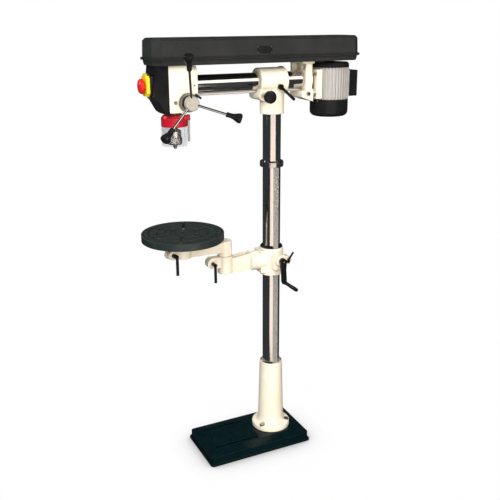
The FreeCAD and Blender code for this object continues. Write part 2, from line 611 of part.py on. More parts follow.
def make_cross_clamp():
    pinion_z = ram_pinion_z()
    length = "barrel_front+barrel_back"
    barrel = lathe([
        ("ram_radius+run_gap", 0), ("barrel_radius-1.5", 0), ("barrel_radius", "1.5"),
        ("barrel_radius", f"{length}-14"), ("barrel_radius+3", f"{length}-11"),
        ("barrel_radius+3", f"{length}-3"), ("barrel_radius+1", length),
        ("ram_radius+run_gap", length)], (0, "-barrel_front", "ram_height"), BACK)
    socket = lathe([
        ("column_radius+run_gap", 0), ("socket_radius-2", 0), ("socket_radius", 2),
        ("socket_radius", "ram_height-socket_low-10"), (0, "ram_height-socket_low-10"),
        (0, "column_top+socket_web-socket_low"),
        ("column_radius+run_gap", "column_top+socket_web-socket_low")], (0, 0, "socket_low"))
    boss = cylinder("pinion_boss_radius", "84", ("-42", "-pinion_y", pinion_z), RIGHT)
    neck = box(("-42", "42"), ("-pinion_y-12", "-24"), (f"{pinion_z}-8", "ram_height-24"))
    screw_boss = cylinder("12", "26", ("30", 4, "ram_height-18"), RIGHT)
    lever_boss = cylinder("13", "26", ("-52", 0, "socket_low+34"), RIGHT)
    bore = cylinder("ram_radius+run_gap", "200", (0, "-100", "ram_height"), BACK)
    column_bore = cylinder("column_radius+run_gap", "column_top+socket_web-socket_low+20",
                           (0, 0, "socket_low-20"))
    rack_way = box(("-ram_rack_width/2-part_gap", "ram_rack_width/2+part_gap"),
                   ("-barrel_front-30", "barrel_back+30"),
                   ("ram_height-ram_radius-ram_rack_height-2*part_gap", "ram_height-10"))
    pinion_room = cylinder("12", "15", ("-7.5", "-pinion_y", pinion_z), RIGHT)
    shaft_hole = cylinder("pinion_shaft_radius+run_gap", "120", ("-60", "-pinion_y", pinion_z), RIGHT)
    ram_screw_hole = cylinder("stud_radius+run_gap", "60", ("20", 4, "ram_height-18"), RIGHT)
    column_screw_hole = cylinder("stud_radius+run_gap", "60", ("-70", 0, "socket_low+34"), RIGHT)
    node(cut(fuse(barrel, socket, boss, neck, screw_boss, lever_boss), bore, column_bore, rack_way,
             pinion_room, shaft_hole, ram_screw_hole, column_screw_hole), "cross_clamp")

    gear = gear_face(int(size("ram_teeth")), size("gear_module"))
    gear.rotate(FreeCAD.Vector(), Y_AXIS, 90)
    gear.translate(FreeCAD.Vector(-7, -size("pinion_y"), pinion_z))
    gear.rotate(FreeCAD.Vector(0, -size("pinion_y"), pinion_z), X_AXIS, 180)
    pinion = plain(gear.extrude(FreeCAD.Vector(14, 0, 0)))
    shaft = cylinder("pinion_shaft_radius", "46+knob_end-12",
                     ("-46", "-pinion_y", pinion_z), RIGHT)
    cap = cylinder("9", "4", ("-46.5", "-pinion_y", pinion_z), RIGHT)
    collar = cylinder("8.5", "18", ("42.3", "-pinion_y", pinion_z), RIGHT)
    node(fuse(pinion, shaft, cap, collar), "ram_pinion")
    knob = lathe([
        ("pinion_shaft_radius", 0), ("9", 0), ("10", 8), ("knob_radius-3", 12),
        ("knob_radius", 15), ("knob_radius", 26), ("knob_radius-3", 29), ("knob_radius-8", 30),
        (0, 31), (0, 19), ("pinion_shaft_radius", 19)],
        ("knob_end-31", "-pinion_y", pinion_z), RIGHT)
    node(knob, "ram_knob")


def make_ram_rack():
    """The toothed strip under the ram, which keeps its teeth down while the head tilts."""
    front = -size("collar_back") + size("end_gap")
    length = size("mount_front") - size("end_gap") - front
    top = size("ram_height") - size("ram_radius") - size("part_gap")
    back = size("ram_rack_height") - 0.85 * size("gear_module")
    pitch = math.pi * size("gear_module")
    first = (-size("pinion_y") - front + pitch / 2) % pitch
    half = size("ram_rack_width") / 2
    corners = [FreeCAD.Vector(-half, front + along, top - back - out)
               for along, out in rack_points(length, size("gear_module"), first, back)]
    face = Part.Face(Part.makePolygon(corners + corners[:1]))
    node(plain(face.extrude(FreeCAD.Vector(2 * half, 0, 0))), "ram_rack")


def bar_lever(at, turn, length, screw):
    """A screw along its own Z with a thin bar through its head, pointing along its own X."""
    shank = cylinder("stud_radius", screw, (0, 0, f"-({screw})"))
    hub = lathe([(0, 0), ("9.5", 0), ("10.5", 1.5), ("10.5", "12.5"), ("9", 14.5), (0, 14.5)])
    bar = cylinder("lever_radius-0.6", length, (0, 0, 7), RIGHT)
    tip = lathe([(0, 0), ("lever_radius-1.2", 0), ("lever_radius", 2),
                 ("lever_radius", "24"), ("lever_radius-1.5", "26"), (0, "26")],
                (f"{length}-22", 0, 7), RIGHT)
    return place(fuse(shank, hub, bar, tip), at, turn)


def make_clamp_levers():
    ram_turn = FreeCAD.Rotation(X_AXIS, -40).multiply(FreeCAD.Rotation(FreeCAD.Vector(1, 1, 1), 120))
    node(bar_lever(("56.5", 4, "ram_height-18"), ram_turn, "ram_lever_length", "20"),
         "ram_lock_lever")
    column_turn = FreeCAD.Rotation(X_AXIS, 22).multiply(
        FreeCAD.Rotation(FreeCAD.Vector(-1, -1, 1), 120))
    node(bar_lever(("-52.5", 0, "socket_low+34"), column_turn, "column_lever_length", "14"),
         "column_lock_lever")


def make_ram():
    node(tube("ram_radius", "ram_radius-ram_wall", "head_back+mount_back-1",
              (0, "-head_back+1", "ram_height"), BACK), "ram")


# ---------------------------------------------------------------- head

def feed_axis_y():
    return (-size("spindle_reach") + size("quill_radius") - 0.85 * size("feed_module") - 0.6
            + gear_pitch("feed_teeth", "feed_module"))


def make_head():
    feed_y = feed_axis_y()
    block = box(("-head_half_width", "head_half_width"), ("-head_front", "-head_back"),
                ("head_low", "tray_low"))
    block = eased(block, "Fillet", size("head_corner"), is_upright)
    collar = prism(cut_corners(("-collar_half_width", "collar_half_width"),
                               ("-tray_low+4", "-collar_low"), "14"), "collar_front-collar_back",
                   (0, "-collar_front", 0), BACK)
    boss = cylinder("feed_boss_radius", "2*head_half_width+4",
                    ("-head_half_width-2", feed_y, "feed_height"), RIGHT)
    nose = cylinder("quill_radius+10", "6", (0, "-spindle_reach", "head_low-6"))
    ram_bore = cylinder("ram_radius", "60", (0, "-head_back+1", "ram_height"), BACK)
    quill_bore = cylinder("quill_radius+run_gap", "quill_top+22-head_low",
                          (0, "-spindle_reach", "head_low-20"))
    top_bore = cylinder("sleeve_radius+run_gap", "60", (0, "-spindle_reach", "tray_low-40"))
    gear_bore = cylinder("feed_module*(feed_teeth/2+1)+0.8", "24",
                         ("-12", feed_y, "feed_height"), RIGHT)
    shaft_bore = cylinder("10+run_gap", "160", ("-80", feed_y, "feed_height"), RIGHT)
    spring_room = cylinder("feed_boss_radius-5", "22", ("-head_half_width-2", feed_y, "feed_height"),
                           RIGHT)
    side_hole = cylinder("4+seat_gap", "30", ("head_half_width-14", "-407", "1452"), RIGHT)
    collar_hole = cylinder("4+seat_gap", "30", ("ram_radius+1", "-collar_back-12", "ram_height"),
                           RIGHT)
    node(cut(fuse(block, collar, boss, nose), ram_bore, quill_bore, top_bore, gear_bore,
             shaft_bore, spring_room, side_hole, collar_hole), "head_casting")
    return [fuse(cylinder("4", "13", ("head_half_width-13", "-407", "1452"), RIGHT),
                 hexagon("6.5", "4", ("head_half_width", "-407", "1452"), RIGHT)),
            cylinder("4", "collar_half_width-ram_radius-3",
                     ("ram_radius+1.5", "-collar_back-12", "ram_height"), RIGHT)]


def make_front_cover():
    def shell(inset, extra):
        return side_prism([
            (f"-head_front+({extra})", f"tray_low-{inset}"),
            (f"-nose_reach+12+{inset}", f"tray_low-{inset}"),
            (f"-nose_reach+{inset}", f"tray_low-103+{inset}*0.3"),
            (f"-nose_reach+18+{inset}", f"tray_low-121+{inset}*0.5"),
            (f"-nose_reach+34+{inset}", f"tray_low-150+{inset}*0.4"),
            (f"-nose_reach+41+{inset}*0.8", f"tray_low-161+{inset}*0.7"),
            (f"-head_front+({extra})", f"tray_low-170+{inset}")], f"head_half_width-{inset}")
    outer = eased(shell(0, "-part_gap"), "Fillet", 3,
                  lambda edge: edge.Length > 100 and edge.Vertexes[0].Y < -size("head_front") - 1)
    hole = box(("-switch_half_width+4", "switch_half_width-4"), ("-nose_reach-20", "-nose_reach+30"),
               ("switch_low+5", "switch_high-5"))
    node(cut(outer, shell(3, "5"), hole), "head_front_cover")


def make_quill():
    blank = tube("quill_radius", "spindle_radius+6", "quill_top-quill_low",
                 (0, "-spindle_reach", "quill_low"))
    module = size("feed_module")
    pitch_y = feed_axis_y() - gear_pitch("feed_teeth", "feed_module")
    low = size("feed_height") - 20
    high = size("quill_top") - 4
    pitch = math.pi * module
    first = (size("feed_height") - low + pitch / 2) % pitch
    points = rack_points(high - low, module, first, -12)
    corners = [FreeCAD.Vector(-9, pitch_y + out, low + along) for along, out in points]
    face = Part.Face(Part.makePolygon(corners + corners[:1]))
    tooth_gaps = plain(face.extrude(FreeCAD.Vector(18, 0, 0)))
    keyway = box(("quill_radius-3", "quill_radius+3"), ("-spindle_reach-3", "-spindle_reach+3"),
                 ("head_low+20", "quill_top+2"))
    node(cut(blank, tooth_gaps, keyway), "quill")
    bearings = []
    for low_end in ("quill_low+2", "quill_top-14"):
        bearings.append(tube("spindle_radius+6", "spindle_radius+run_gap", "10",
                             (0, "-spindle_reach", low_end)))
    node(group(*bearings), "quill_bearings")

    top = "lid_top-8"
    spindle = lathe([
        (0, 0), (5, 0), ("spindle_radius-2", "chuck_top-chuck_low"),
        ("spindle_radius+4", "chuck_top-chuck_low+6"),
        ("spindle_radius+4", "quill_low-chuck_low-0.3"), ("spindle_radius", "quill_low-chuck_low-0.3"),
        ("spindle_radius", "quill_top-chuck_low"), ("7", "quill_top-chuck_low"),
        ("7", f"{top}-chuck_low"), (0, f"{top}-chuck_low")], (0, "-spindle_reach", "chuck_low"))
    return spindle


def make_chuck():
    blank = make_quill()
    room = cylinder("60", "chuck_top-chuck_low-20", (0, "-spindle_reach", "chuck_low-1"))
    node(cut(blank, room), "spindle")
    height = "chuck_top-chuck_low"
    socket = f"{height}-22"
    body = lathe([
        (0, 14), ("chuck_radius-7.5", 14), ("chuck_radius-7.5", "22"), ("chuck_radius-3", "22"),
        ("chuck_radius-3", f"{height}-6"), ("chuck_radius-8", height), ("spindle_radius-2", height),
        ("spindle_radius-2.8", socket), (0, socket)], (0, "-spindle_reach", "chuck_low"))
    bore = cylinder("3", "200", (0, "-spindle_reach", "chuck_low-100"))
    keys = []
    for angle in (20, 140, 260):
        turn = FreeCAD.Rotation(Z_AXIS, angle).multiply(RIGHT)
        at = (f"12*cos({angle})", f"12*sin({angle})-spindle_reach", "chuck_low+33")
        keys.append(cylinder("3.2", "30", at, turn))
    body = cut(body, bore, *keys)
    sleeve = lathe([
        ("chuck_radius-7.3", 3), ("chuck_radius-6", 0), ("chuck_radius-3", 0),
        ("chuck_radius", 5), ("chuck_radius", 24), ("chuck_radius-1.5", 26),
        ("chuck_radius-2.8", 26), ("chuck_radius-2.8", "21.7"), ("chuck_radius-7.3", "21.7")],
        (0, "-spindle_reach", "chuck_low"))
    node(group(body, sleeve), "chuck")
    jaws = []
    for angle in (80, 200, 320):
        jaw = lathe([("1.2", "-jaw_length"), ("5", "-jaw_length"), ("10.5", "0"), ("10.5", "13.7"),
                     ("3.2", "13.7"), ("1.2", "8")], (0, "-spindle_reach", "chuck_low"))
        sector = prism([(0, 0), ("40*cos(-27)", "40*sin(-27)"), ("40*cos(27)", "40*sin(27)")], "60",
                       (0, "-spindle_reach", "chuck_low-30"), FreeCAD.Rotation(Z_AXIS, angle))
        common = doc.addObject("Part::Common", "Jaw")
        common.Base, common.Tool = jaw, sector
        jaws.append(common)
    node(group(*jaws), "chuck_jaws")


def make_feed():
    feed_y = feed_axis_y()
    gear = gear_face(int(size("feed_teeth")), size("feed_module"))
    gear.rotate(FreeCAD.Vector(), Y_AXIS, 90)
    gear.rotate(FreeCAD.Vector(), X_AXIS, -90)
    gear.translate(FreeCAD.Vector(-9, feed_y, size("feed_height")))
    pinion = plain(gear.extrude(FreeCAD.Vector(18, 0, 0)))
    shaft = cylinder("10", "2*head_half_width+36", ("-head_half_width-4", feed_y, "feed_height"),
                     RIGHT)
    hub_x = "hub_face-24"
    hub = lathe([("17", 0), ("18", 3), ("hub_radius-1", 6), ("hub_radius", 8),
                 ("hub_radius", 21), ("hub_radius-3", 24), (0, 24), (0, 0)],
                (hub_x, feed_y, "feed_height"), RIGHT)
    rods, knobs = [], []
    for turn in (0, 120, 240):
        lean = FreeCAD.Rotation(X_AXIS, size("lever_angle") + turn - 90).multiply(
            FreeCAD.Rotation(Y_AXIS, size("lever_lean")))
        at = ("hub_face-12", feed_y, "feed_height")
        rods.append(cut(cylinder("feed_rod_radius", "lever_reach-10", at, lean),
                        cylinder("14", "40", ("hub_face-30", feed_y, "feed_height"), RIGHT)))
        knob = lathe([
            ("feed_rod_radius", 0), (8, 0), (9, 3), (8.5, 12), (9.5, 24),
            ("knob_flare-4", "knob_length*0.62"), ("knob_flare", "knob_length*0.8"),
            ("knob_flare", "knob_length-4"), ("knob_flare-4", "knob_length"), (0, "knob_length"),
            (0, "knob_length*0.5-6"), ("feed_rod_radius", "knob_length*0.5-6")],
            (0, 0, "lever_reach-knob_length/2+4"))
        knobs.append(place(group(knob), at, lean))
    node(cut(fuse(pinion, shaft, hub), *rods), "feed_shaft")
    node(group(*rods), "feed_levers")
    node(group(*knobs), "feed_knobs")

    ring = lathe([("10+part_gap", 0), ("ring_disc_radius-2", 0), ("ring_disc_radius", 2),
                  ("ring_disc_radius", 12), ("ring_disc_radius-2", 14), ("22", 14), ("21", 23),
                  ("10+part_gap", 23)],
                 ("head_half_width+2+part_gap", feed_y, "feed_height"), RIGHT)
    lock_turn = FreeCAD.Rotation(X_AXIS, 35 - 90)
    lock_at = ("head_half_width+9.5", feed_y, "feed_height")
    lock_hole = place(group(cylinder("3.06", "60", (0, 0, 14))), lock_at, lock_turn)
    lock = fuse(cylinder("3", "20", (0, 0, "ring_disc_radius-16")),
                cylinder("7", "9", (0, 0, "ring_disc_radius+1")),
                cylinder("4", "26", (-4, -6, "ring_disc_radius+5.5"),
                         FreeCAD.Rotation(X_AXIS, -70)))
    node(group(cut(ring, lock_hole), place(group(lock), lock_at, lock_turn)), "depth_ring")

    cap = lathe([
        ("feed_boss_radius-7", 0), ("feed_boss_radius-5.5", 0), ("feed_boss_radius-5.5", 9),
        ("feed_boss_radius-0.5", 9), ("feed_boss_radius-0.5", 20), ("feed_boss_radius-4", 24),
        (0, 24), (0, 21), ("feed_boss_radius-7", 21)],
        ("-head_half_width-2+9", feed_y, "feed_height"), LEFT)
    node(cap, "spring_cap")
    node(spring_coil(feed_y), "return_spring")


def spring_coil(feed_y):
    """The flat spiral spring that lifts the quill, as a strip wound round the feed shaft."""
    turns, start, pitch, strip, width = 4.5, 12.0, 2.3, 0.8, 12.0
    inner, outer = [], []
    steps = int(turns * 24)
    for step in range(steps + 1):
        angle = 2 * math.pi * turns * step / steps
        radius = start + pitch * turns * step / steps
        direction = FreeCAD.Vector(0, math.cos(angle), math.sin(angle))
        inner.append(direction * radius)
        outer.append(direction * (radius + strip))
    edges = [Part.BSplineCurve(), Part.BSplineCurve()]
    edges[0].interpolate(inner)
    edges[1].interpolate(outer)
    ends = [Part.LineSegment(inner[0], outer[0]), Part.LineSegment(outer[-1], inner[-1])]
    wire = Part.Wire([edges[0].toShape(), ends[1].toShape(), edges[1].toShape(), ends[0].toShape()])
    strip_solid = Part.Face(wire).extrude(FreeCAD.Vector(width, 0, 0))
    strip_solid.translate(FreeCAD.Vector(-size("head_half_width") - 9, feed_y, size("feed_height")))
    return plain(strip_solid)


def make_guard():
    y = "-spindle_reach"
    height = "guard_top-guard_low"
    ring = lathe([
        ("quill_radius", f"{height}-14"), ("quill_radius+8", f"{height}-14"),
        ("guard_radius-3", f"{height}-20"), ("guard_radius-3", 0), ("guard_radius-1", 0),
        ("guard_radius", 2), ("guard_radius", f"{height}-12"), ("guard_radius-6", f"{height}-4"),
        ("quill_radius+9", height), ("quill_radius", height)], (0, y, "guard_low"))
    ear = box(("-60.5", "-36"), (f"{y}-26", f"{y}-4"), ("guard_low+12", "guard_low+30"))
    slit = box(("-70", "-15"), (f"{y}-16.5", f"{y}-14.5"), ("guard_low-1", "guard_top+1"))
    hinge = cylinder("7", "18", ("36", f"{y}+40", "guard_top-20"))
    web = box(("18", "40"), (f"{y}+20", f"{y}+40"), ("guard_top-18", "guard_top-4"))
    hole = cylinder("3", "60", ("36", f"{y}+40", "guard_top-50"))
    screw_hole = cylinder("3.1", "40", ("-53.9", f"{y}-36", "guard_low+21"), BACK)
    bore = cylinder("quill_radius", "80", (0, y, "guard_low-10"))
    inner = cylinder("guard_radius-3", f"{height}-20", (0, y, "guard_low-1"))
    node(cut(fuse(ring, ear, hinge, web), slit, hole, screw_hole, bore, inner), "guard_collar")
    screw = fuse(cylinder("3", "28", ("-53.9", f"{y}-30", "guard_low+21"), BACK),
                 hexagon("5.5", "4", ("-53.9", f"{y}-30", "guard_low+21"), BACK),
                 cylinder("6.5", "6", ("-53.9", f"{y}-2", "guard_low+21"), BACK))
    pin = fuse(cylinder("3", "guard_top-2-shield_low-18", ("36", f"{y}+40", "shield_low+16")),
               cylinder("5", "2.5", ("36", f"{y}+40", "guard_top-2")),
               cylinder("3", "4", ("36", f"{y}+40", "guard_top-5")))
    node(group(screw, pin), "guard_fasteners")

    low = "shield_low"
    top = "guard_low-part_gap"
    shell = tube("guard_radius", "guard_radius-shield_wall", f"{top}-{low}", (0, y, low))
    band = tube("guard_radius+1.5", "guard_radius", "9", (0, y, f"{top}-9"))
    back = prism([(0, 0), ("90", "90*tan(50)"), ("0", 150), ("-120", 60), ("-90*cos(5)", "0")],
                 "200", (0, y, "shield_low-60"))
    knuckle = cylinder("6", "guard_top-20-part_gap-shield_low-20", ("36", f"{y}+40", "shield_low+20"))
    strap = box(("30", "38"), (f"{y}+26", f"{y}+38"), (f"{low}+20", top))
    pin_hole = cylinder("3+run_gap", "200", ("36", f"{y}+40", "shield_low"))
    open_shell = cut(fuse(shell, band), back)
    node(cut(fuse(open_shell, strap, knuckle), pin_hole), "guard_shield")


# ---------------------------------------------------------------- belt cover and drive

def cover_outline(inset):
    edge = f"({inset})"
    return cut_corners((f"-cover_half_width+{edge}", f"cover_half_width-{edge}"),
                       (f"-cover_front+{edge}", f"cover_back-{edge}"), "cover_corner")


def make_cover():
    tray = prism(cover_outline("5"), "tray_height-5", (0, 0, "tray_low"), UP, 12)
    lip = prism(cover_outline("0-cover_lip"), "5", (0, 0, "tray_low+tray_height-5"))
    inner = prism(cover_outline("5+cover_wall"), "60", (0, 0, "tray_low+4"))
    spindle_hole = cylinder("21", "40", (0, "-spindle_reach", "tray_low-10"))
    shaft_slot = box(("-11", "11"), ("motor_reach-tension_travel-2", "motor_reach"),
                     ("tray_low-10", "tray_low+20"))
    shaft_end = [cylinder("11", "30", (0, y, "tray_low-10"))
                 for y in ("motor_reach", "motor_reach-tension_travel-2")]
    low = "tray_low+tray_height+part_gap"
    hinge_x = "-cover_half_width-cover_lip-4"
    leaves, knuckles = [], []
    for middle in (-330, 190):
        for start in (f"{middle}-20", f"{middle}+7"):
            leaves.append(cylinder("3.5", "13", (hinge_x, start, low), BACK))
            leaves.append(box((f"{hinge_x}-2", f"{hinge_x}+5"), (start, f"{start}+13"),
                              (f"{low}-8", f"{low}-0.3")))
        leaves.append(cylinder("1.6", "40", (hinge_x, f"{middle}-20", low), BACK))
        knuckles.append(cylinder("3.5", "13.4", (hinge_x, f"{middle}-6.7", low), BACK))
        knuckles.append(box((hinge_x, f"{hinge_x}+5"), (f"{middle}-6.7", f"{middle}+6.7"),
                            (f"{low}+0.5", f"{low}+3.5")))
    pin_hole = cylinder("1.6+run_gap", "cover_front+cover_back", (hinge_x, "-cover_front", low), BACK)
    node(fuse(cut(fuse(tray, lip), inner, spindle_hole, shaft_slot, *shaft_end), *leaves),
         "cover_tray")

    rise = f"lid_top-({low})"
    shell = prism(cover_outline("1"), rise, (0, 0, low), UP, -2.5)
    shell = eased(shell, "Chamfer", size("cover_bevel"), is_at_height(size("lid_top")))
    room = prism(cover_outline("1+cover_wall"), f"{rise}-cover_wall", (0, 0, f"{low}-0.01"), UP, -2.5)
    room = eased(room, "Chamfer", size("cover_bevel"),
                 is_at_height(size("lid_top") - size("cover_wall") - 0.01))
    skirt = prism(cover_outline("0-cover_lip"), "3.5", (0, 0, low))
    skirt_room = prism(cover_outline("1+cover_wall"), "10", (0, 0, f"{low}-2"))
    node(cut(fuse(shell, skirt, *knuckles), room, skirt_room, pin_hole), "cover_lid")


def pulley(radii, bore):
    """A stepped V-belt pulley, its lowest step first."""
    points = [(bore, 0)]
    for index, radius in enumerate(radii):
        foot = f"{index}*pulley_step"
        points += [(radius, foot), (radius, f"{foot}+2"), (f"{radius}-groove_depth", f"{foot}+4"),
                   (f"{radius}-groove_depth", f"{foot}+9"), (radius, f"{foot}+11"),
                   (radius, f"{foot}+13")]
    points.append((bore, f"{len(radii)}*pulley_step"))
    return lathe(points)


def make_drive():
    steps = [f"(pulley_big-{index}*pulley_shrink)" for index in range(5)]
    sleeve = tube("sleeve_radius", "7+run_gap", "pulley_base-quill_top-4",
                  (0, 0, "quill_top+4-pulley_base"))
    spindle_pulley = fuse(pulley(steps, "7+run_gap"), sleeve)
    node(place(spindle_pulley, (0, "-spindle_reach", "pulley_base")), "spindle_pulley")
    node(place(group(pulley(steps[::-1], "7")), (0, "motor_reach", "pulley_base")), "motor_pulley")
    node(belt(), "drive_belt")


def belt_path(depth, height):
    """The belt's closed line round both lowest steps, at one depth above the groove floors."""
    floor = size("pulley_big") - size("groove_depth")
    wide = floor + depth
    narrow = floor - 4 * size("pulley_shrink") + depth
    front, back = -size("spindle_reach"), size("motor_reach")
    lean = math.asin((wide - narrow) / (back - front))

    def point(centre, radius, angle):
        return FreeCAD.Vector(radius * math.cos(angle), centre + radius * math.sin(angle), height)

    around_front = [point(front, wide, angle) for angle in (lean, -math.pi / 2, math.pi - lean)]
    around_back = [point(back, narrow, angle) for angle in (math.pi - lean, math.pi / 2, lean)]
    return Part.Wire([Part.Arc(*around_front).toShape(),
                      Part.LineSegment(around_front[2], around_back[0]).toShape(),
                      Part.Arc(*around_back).toShape(),
                      Part.LineSegment(around_back[2], around_front[0]).toShape()])


def belt():
    """The V-belt on the lowest steps: a band whose upper and lower sides slope inwards."""
    middle = size("pulley_base") + size("pulley_step") / 2
    inner_depth, inner_half = size("part_gap"), 2.1
    outer_depth, outer_half = size("groove_depth") - 0.6, 3.9
    rate = (outer_half - inner_half) / (outer_depth - inner_depth)

    def slab(depth, half):
        return Part.Face(belt_path(depth, middle - half)).extrude(FreeCAD.Vector(0, 0, 2 * half))

    band = slab(outer_depth, outer_half + 0.1).cut(slab(inner_depth, outer_half + 1))
    for side in (-1, 1):
        slope = Part.makeLoft([belt_path(inner_depth - 0.2, middle + side * (inner_half - 0.2 * rate)),
                               belt_path(outer_depth + 1, middle + side * (outer_half + rate))],
                              True, True)
        band = band.cut(slope)
    return plain(band)


# ---------------------------------------------------------------- motor

def make_motor_mount():
    mount = box(("-mount_half_width", "mount_half_width"), ("mount_front", "mount_back"),
                ("mount_low+20", "tray_low-8"))
    mount = eased(mount, "Fillet", 6, is_upright)
    flange = box(("-mount_half_width-8", "mount_half_width+8"), ("mount_front-22", "mount_back+2"),
                 ("tray_low-8", "tray_low"))
    ring = cylinder("ram_radius+12", "mount_back-mount_front+2",
                    (0, "mount_front", "ram_height"), BACK)
    lower = side_prism([("mount_front-18", "mount_low+18"), ("mount_back+2", "mount_low"),
                        ("mount_back+2", "mount_low+46"), ("mount_front-18", "mount_low+40")],
                       "mount_half_width+2")
    post = box(("-mount_half_width", "-mount_half_width+12"), ("mount_front-18", "mount_front+2"),
               ("ram_height+6", "tray_low-4"))
    bore = cylinder("ram_radius", "mount_back-mount_front+20",
                    (0, "mount_front-20", "ram_height"), BACK)
    windows = [box((x, f"{x}+24"), ("mount_front-30", "mount_back+30"),
                   ("ram_height+38", "tray_low-14")) for x in ("-34", "10")]
    rack_gap = box(("-ram_rack_width/2-1", "ram_rack_width/2+1"), ("mount_front-40", "mount_front"),
                   ("ram_height-ram_radius-ram_rack_height-2", "ram_height"))
    under = cylinder("ram_radius+ram_rack_height+2", "24", (0, "mount_front-24", "ram_height"), BACK)
    rods, holes, locks, lock_holes = [], [], [], []
    for side in ("-1", "1"):
        at = (f"{side}*slide_rod_side", "mount_front-20", "mount_low+30")
        rods.append(cylinder("slide_rod_radius", "mount_back+plate_gap-mount_front+22", at, BACK))
        holes.append(cylinder("slide_rod_radius+run_gap", "120",
                              (at[0], "mount_front-60", at[2]), BACK))
        turn = RIGHT if side == "1" else LEFT
        start = f"{side}*(slide_rod_side+slide_rod_radius+0.5)"
        locks.append(fuse(cylinder("4", "14", (start, "mount_front+6", at[2]), turn),
                          hexagon("8", "7", (f"{start}+{side}*9", "mount_front+6", at[2]), turn)))
        lock_holes.append(cylinder("4+run_gap", "60", (f"{side}*slide_rod_side", "mount_front+6",
                                                      at[2]), turn))
    node(cut(fuse(mount, flange, ring, lower, post), bore, under, rack_gap, *windows, *holes,
             *lock_holes), "motor_mount")

    plate_front = "mount_back+plate_gap"
    plate = box(("-50", "50"), (plate_front, f"{plate_front}+plate_thick+12"),
                ("motor_low+6", "motor_high-6"))
    window = box(("-26", "26"), (f"{plate_front}-1", "motor_reach"),
                 ("motor_low+42", "motor_high-24"))
    saddle = cylinder("motor_radius", "200", (0, "motor_reach", "motor_low-20"))
    node(cut(fuse(plate, *rods), window, saddle), "motor_plate")
    bolts = []
    for x, z in ((-42, 22), (42, 22), (-42, 98), (42, 98)):
        bolts.append(hexagon("6.5", "5", (x, plate_front, f"motor_low+{z}"), FRONT))
    return locks, bolts


def make_motor():
    core, tip = size("motor_core"), size("motor_radius")
    count = int(size("fin_count"))
    half = size("fin_thick") / 2
    corners = []
    for index in range(count):
        angle = 2 * math.pi * index / count
        for radius, side in ((core, -1), (tip, -1), (tip, 1), (core, 1)):
            across = math.asin(half / radius)
            corners.append(FreeCAD.Vector(radius * math.cos(angle + side * across),
                                          radius * math.sin(angle + side * across), 0))
    face = Part.Face(Part.makePolygon(corners + corners[:1]))
    finned = face.extrude(FreeCAD.Vector(0, 0, size("motor_high") - size("motor_low")))
    finned.translate(FreeCAD.Vector(0, size("motor_reach"), size("motor_low")))
    pad = box(("-box_half_width", "box_half_width"), ("motor_reach+55", "motor_reach+motor_radius"),
              ("box_low", "box_high"))
    bore = cylinder("50", "motor_high-motor_low-16", (0, "motor_reach", "motor_low+8"))
    hole = cylinder("7+run_gap", "400", (0, "motor_reach", "motor_low-10"))
    node(cut(fuse(plain(finned), pad), bore, hole), "motor_body")
    node(lathe([
        ("9", 0), ("motor_radius", 0), ("motor_radius", "bell_top-motor_high-7"),
        ("motor_radius-5", "bell_top-motor_high"), ("20", "bell_top-motor_high"),
        ("20", "bell_top-motor_high+3"), ("9", "bell_top-motor_high+3")],
        (0, "motor_reach", "motor_high")), "motor_bell")
    fan = cylinder("motor_radius", "motor_low-fan_low", (0, "motor_reach", "fan_low"))
    fan = eased(fan, "Fillet", size("fan_round"), is_at_height(size("fan_low")))
    room = cylinder("motor_radius-2.5", "motor_low-fan_low",
                    (0, "motor_reach", "fan_low+2.5"))
    room = eased(room, "Fillet", size("fan_round") - 2.5, is_at_height(size("fan_low") + 2.5))
    slots = []
    for row_index, reach in enumerate((18, 30, 42)):
        for index in range(8 + 4 * row_index):
            angle = TURN_FULL * index / (8 + 4 * row_index)
            slots.append(cylinder("2.6", "12", (f"{reach}*cos({angle})",
                                                f"{reach}*sin({angle})+motor_reach", "fan_low-4")))
    node(cut(fan, room, *slots), "fan_cover")
    blades = [cylinder("14", "14", (0, "motor_reach", "motor_low-34"))]
    for index in range(8):
        blade = box(("8", "motor_radius-12"), ("-1.2", "1.2"), ("motor_low-36", "motor_low-8"))
        blades.append(place(group(blade), (0, "motor_reach", 0),
                            FreeCAD.Rotation(Z_AXIS, 45 * index)))
    shaft = cylinder("7", "pulley_base+5*pulley_step-motor_low+34",
                     (0, "motor_reach", "motor_low-34"))
    nut = cylinder("9.5", "3", (0, "motor_reach", "pulley_base+5*pulley_step"))
    node(fuse(*blades, shaft, nut), "motor_rotor")
    box_y = ("motor_reach+motor_radius", "box_reach")
    shell = box(("-box_half_width", "box_half_width"), box_y, ("box_low", "box_high"))
    shell = eased(shell, "Fillet", 5, lambda edge: edge.Vertexes[0].Y > size("box_reach") - 1
                  and edge.Vertexes[-1].Y > size("box_reach") - 1)
    room = box(("3-box_half_width", "box_half_width-3"), ("motor_reach+motor_radius-1",
                                                         "box_reach-3"), ("box_low+3", "box_high-3"))
    node(cut(shell, room), "junction_box")
    return [cylinder("4.5", "3", ("28", "motor_reach-68.7", "motor_low-6"), FRONT)]


# ---------------------------------------------------------------- switch

def switch_plate(inset, depth, front, corner):
    edge = f"({inset})"
    points = cut_corners((f"-switch_half_width+{edge}", f"switch_half_width-{edge}"),
                         (f"switch_low+{edge}", f"switch_high-{edge}"), corner)
    return prism(points, depth, (0, front, 0), FRONT)


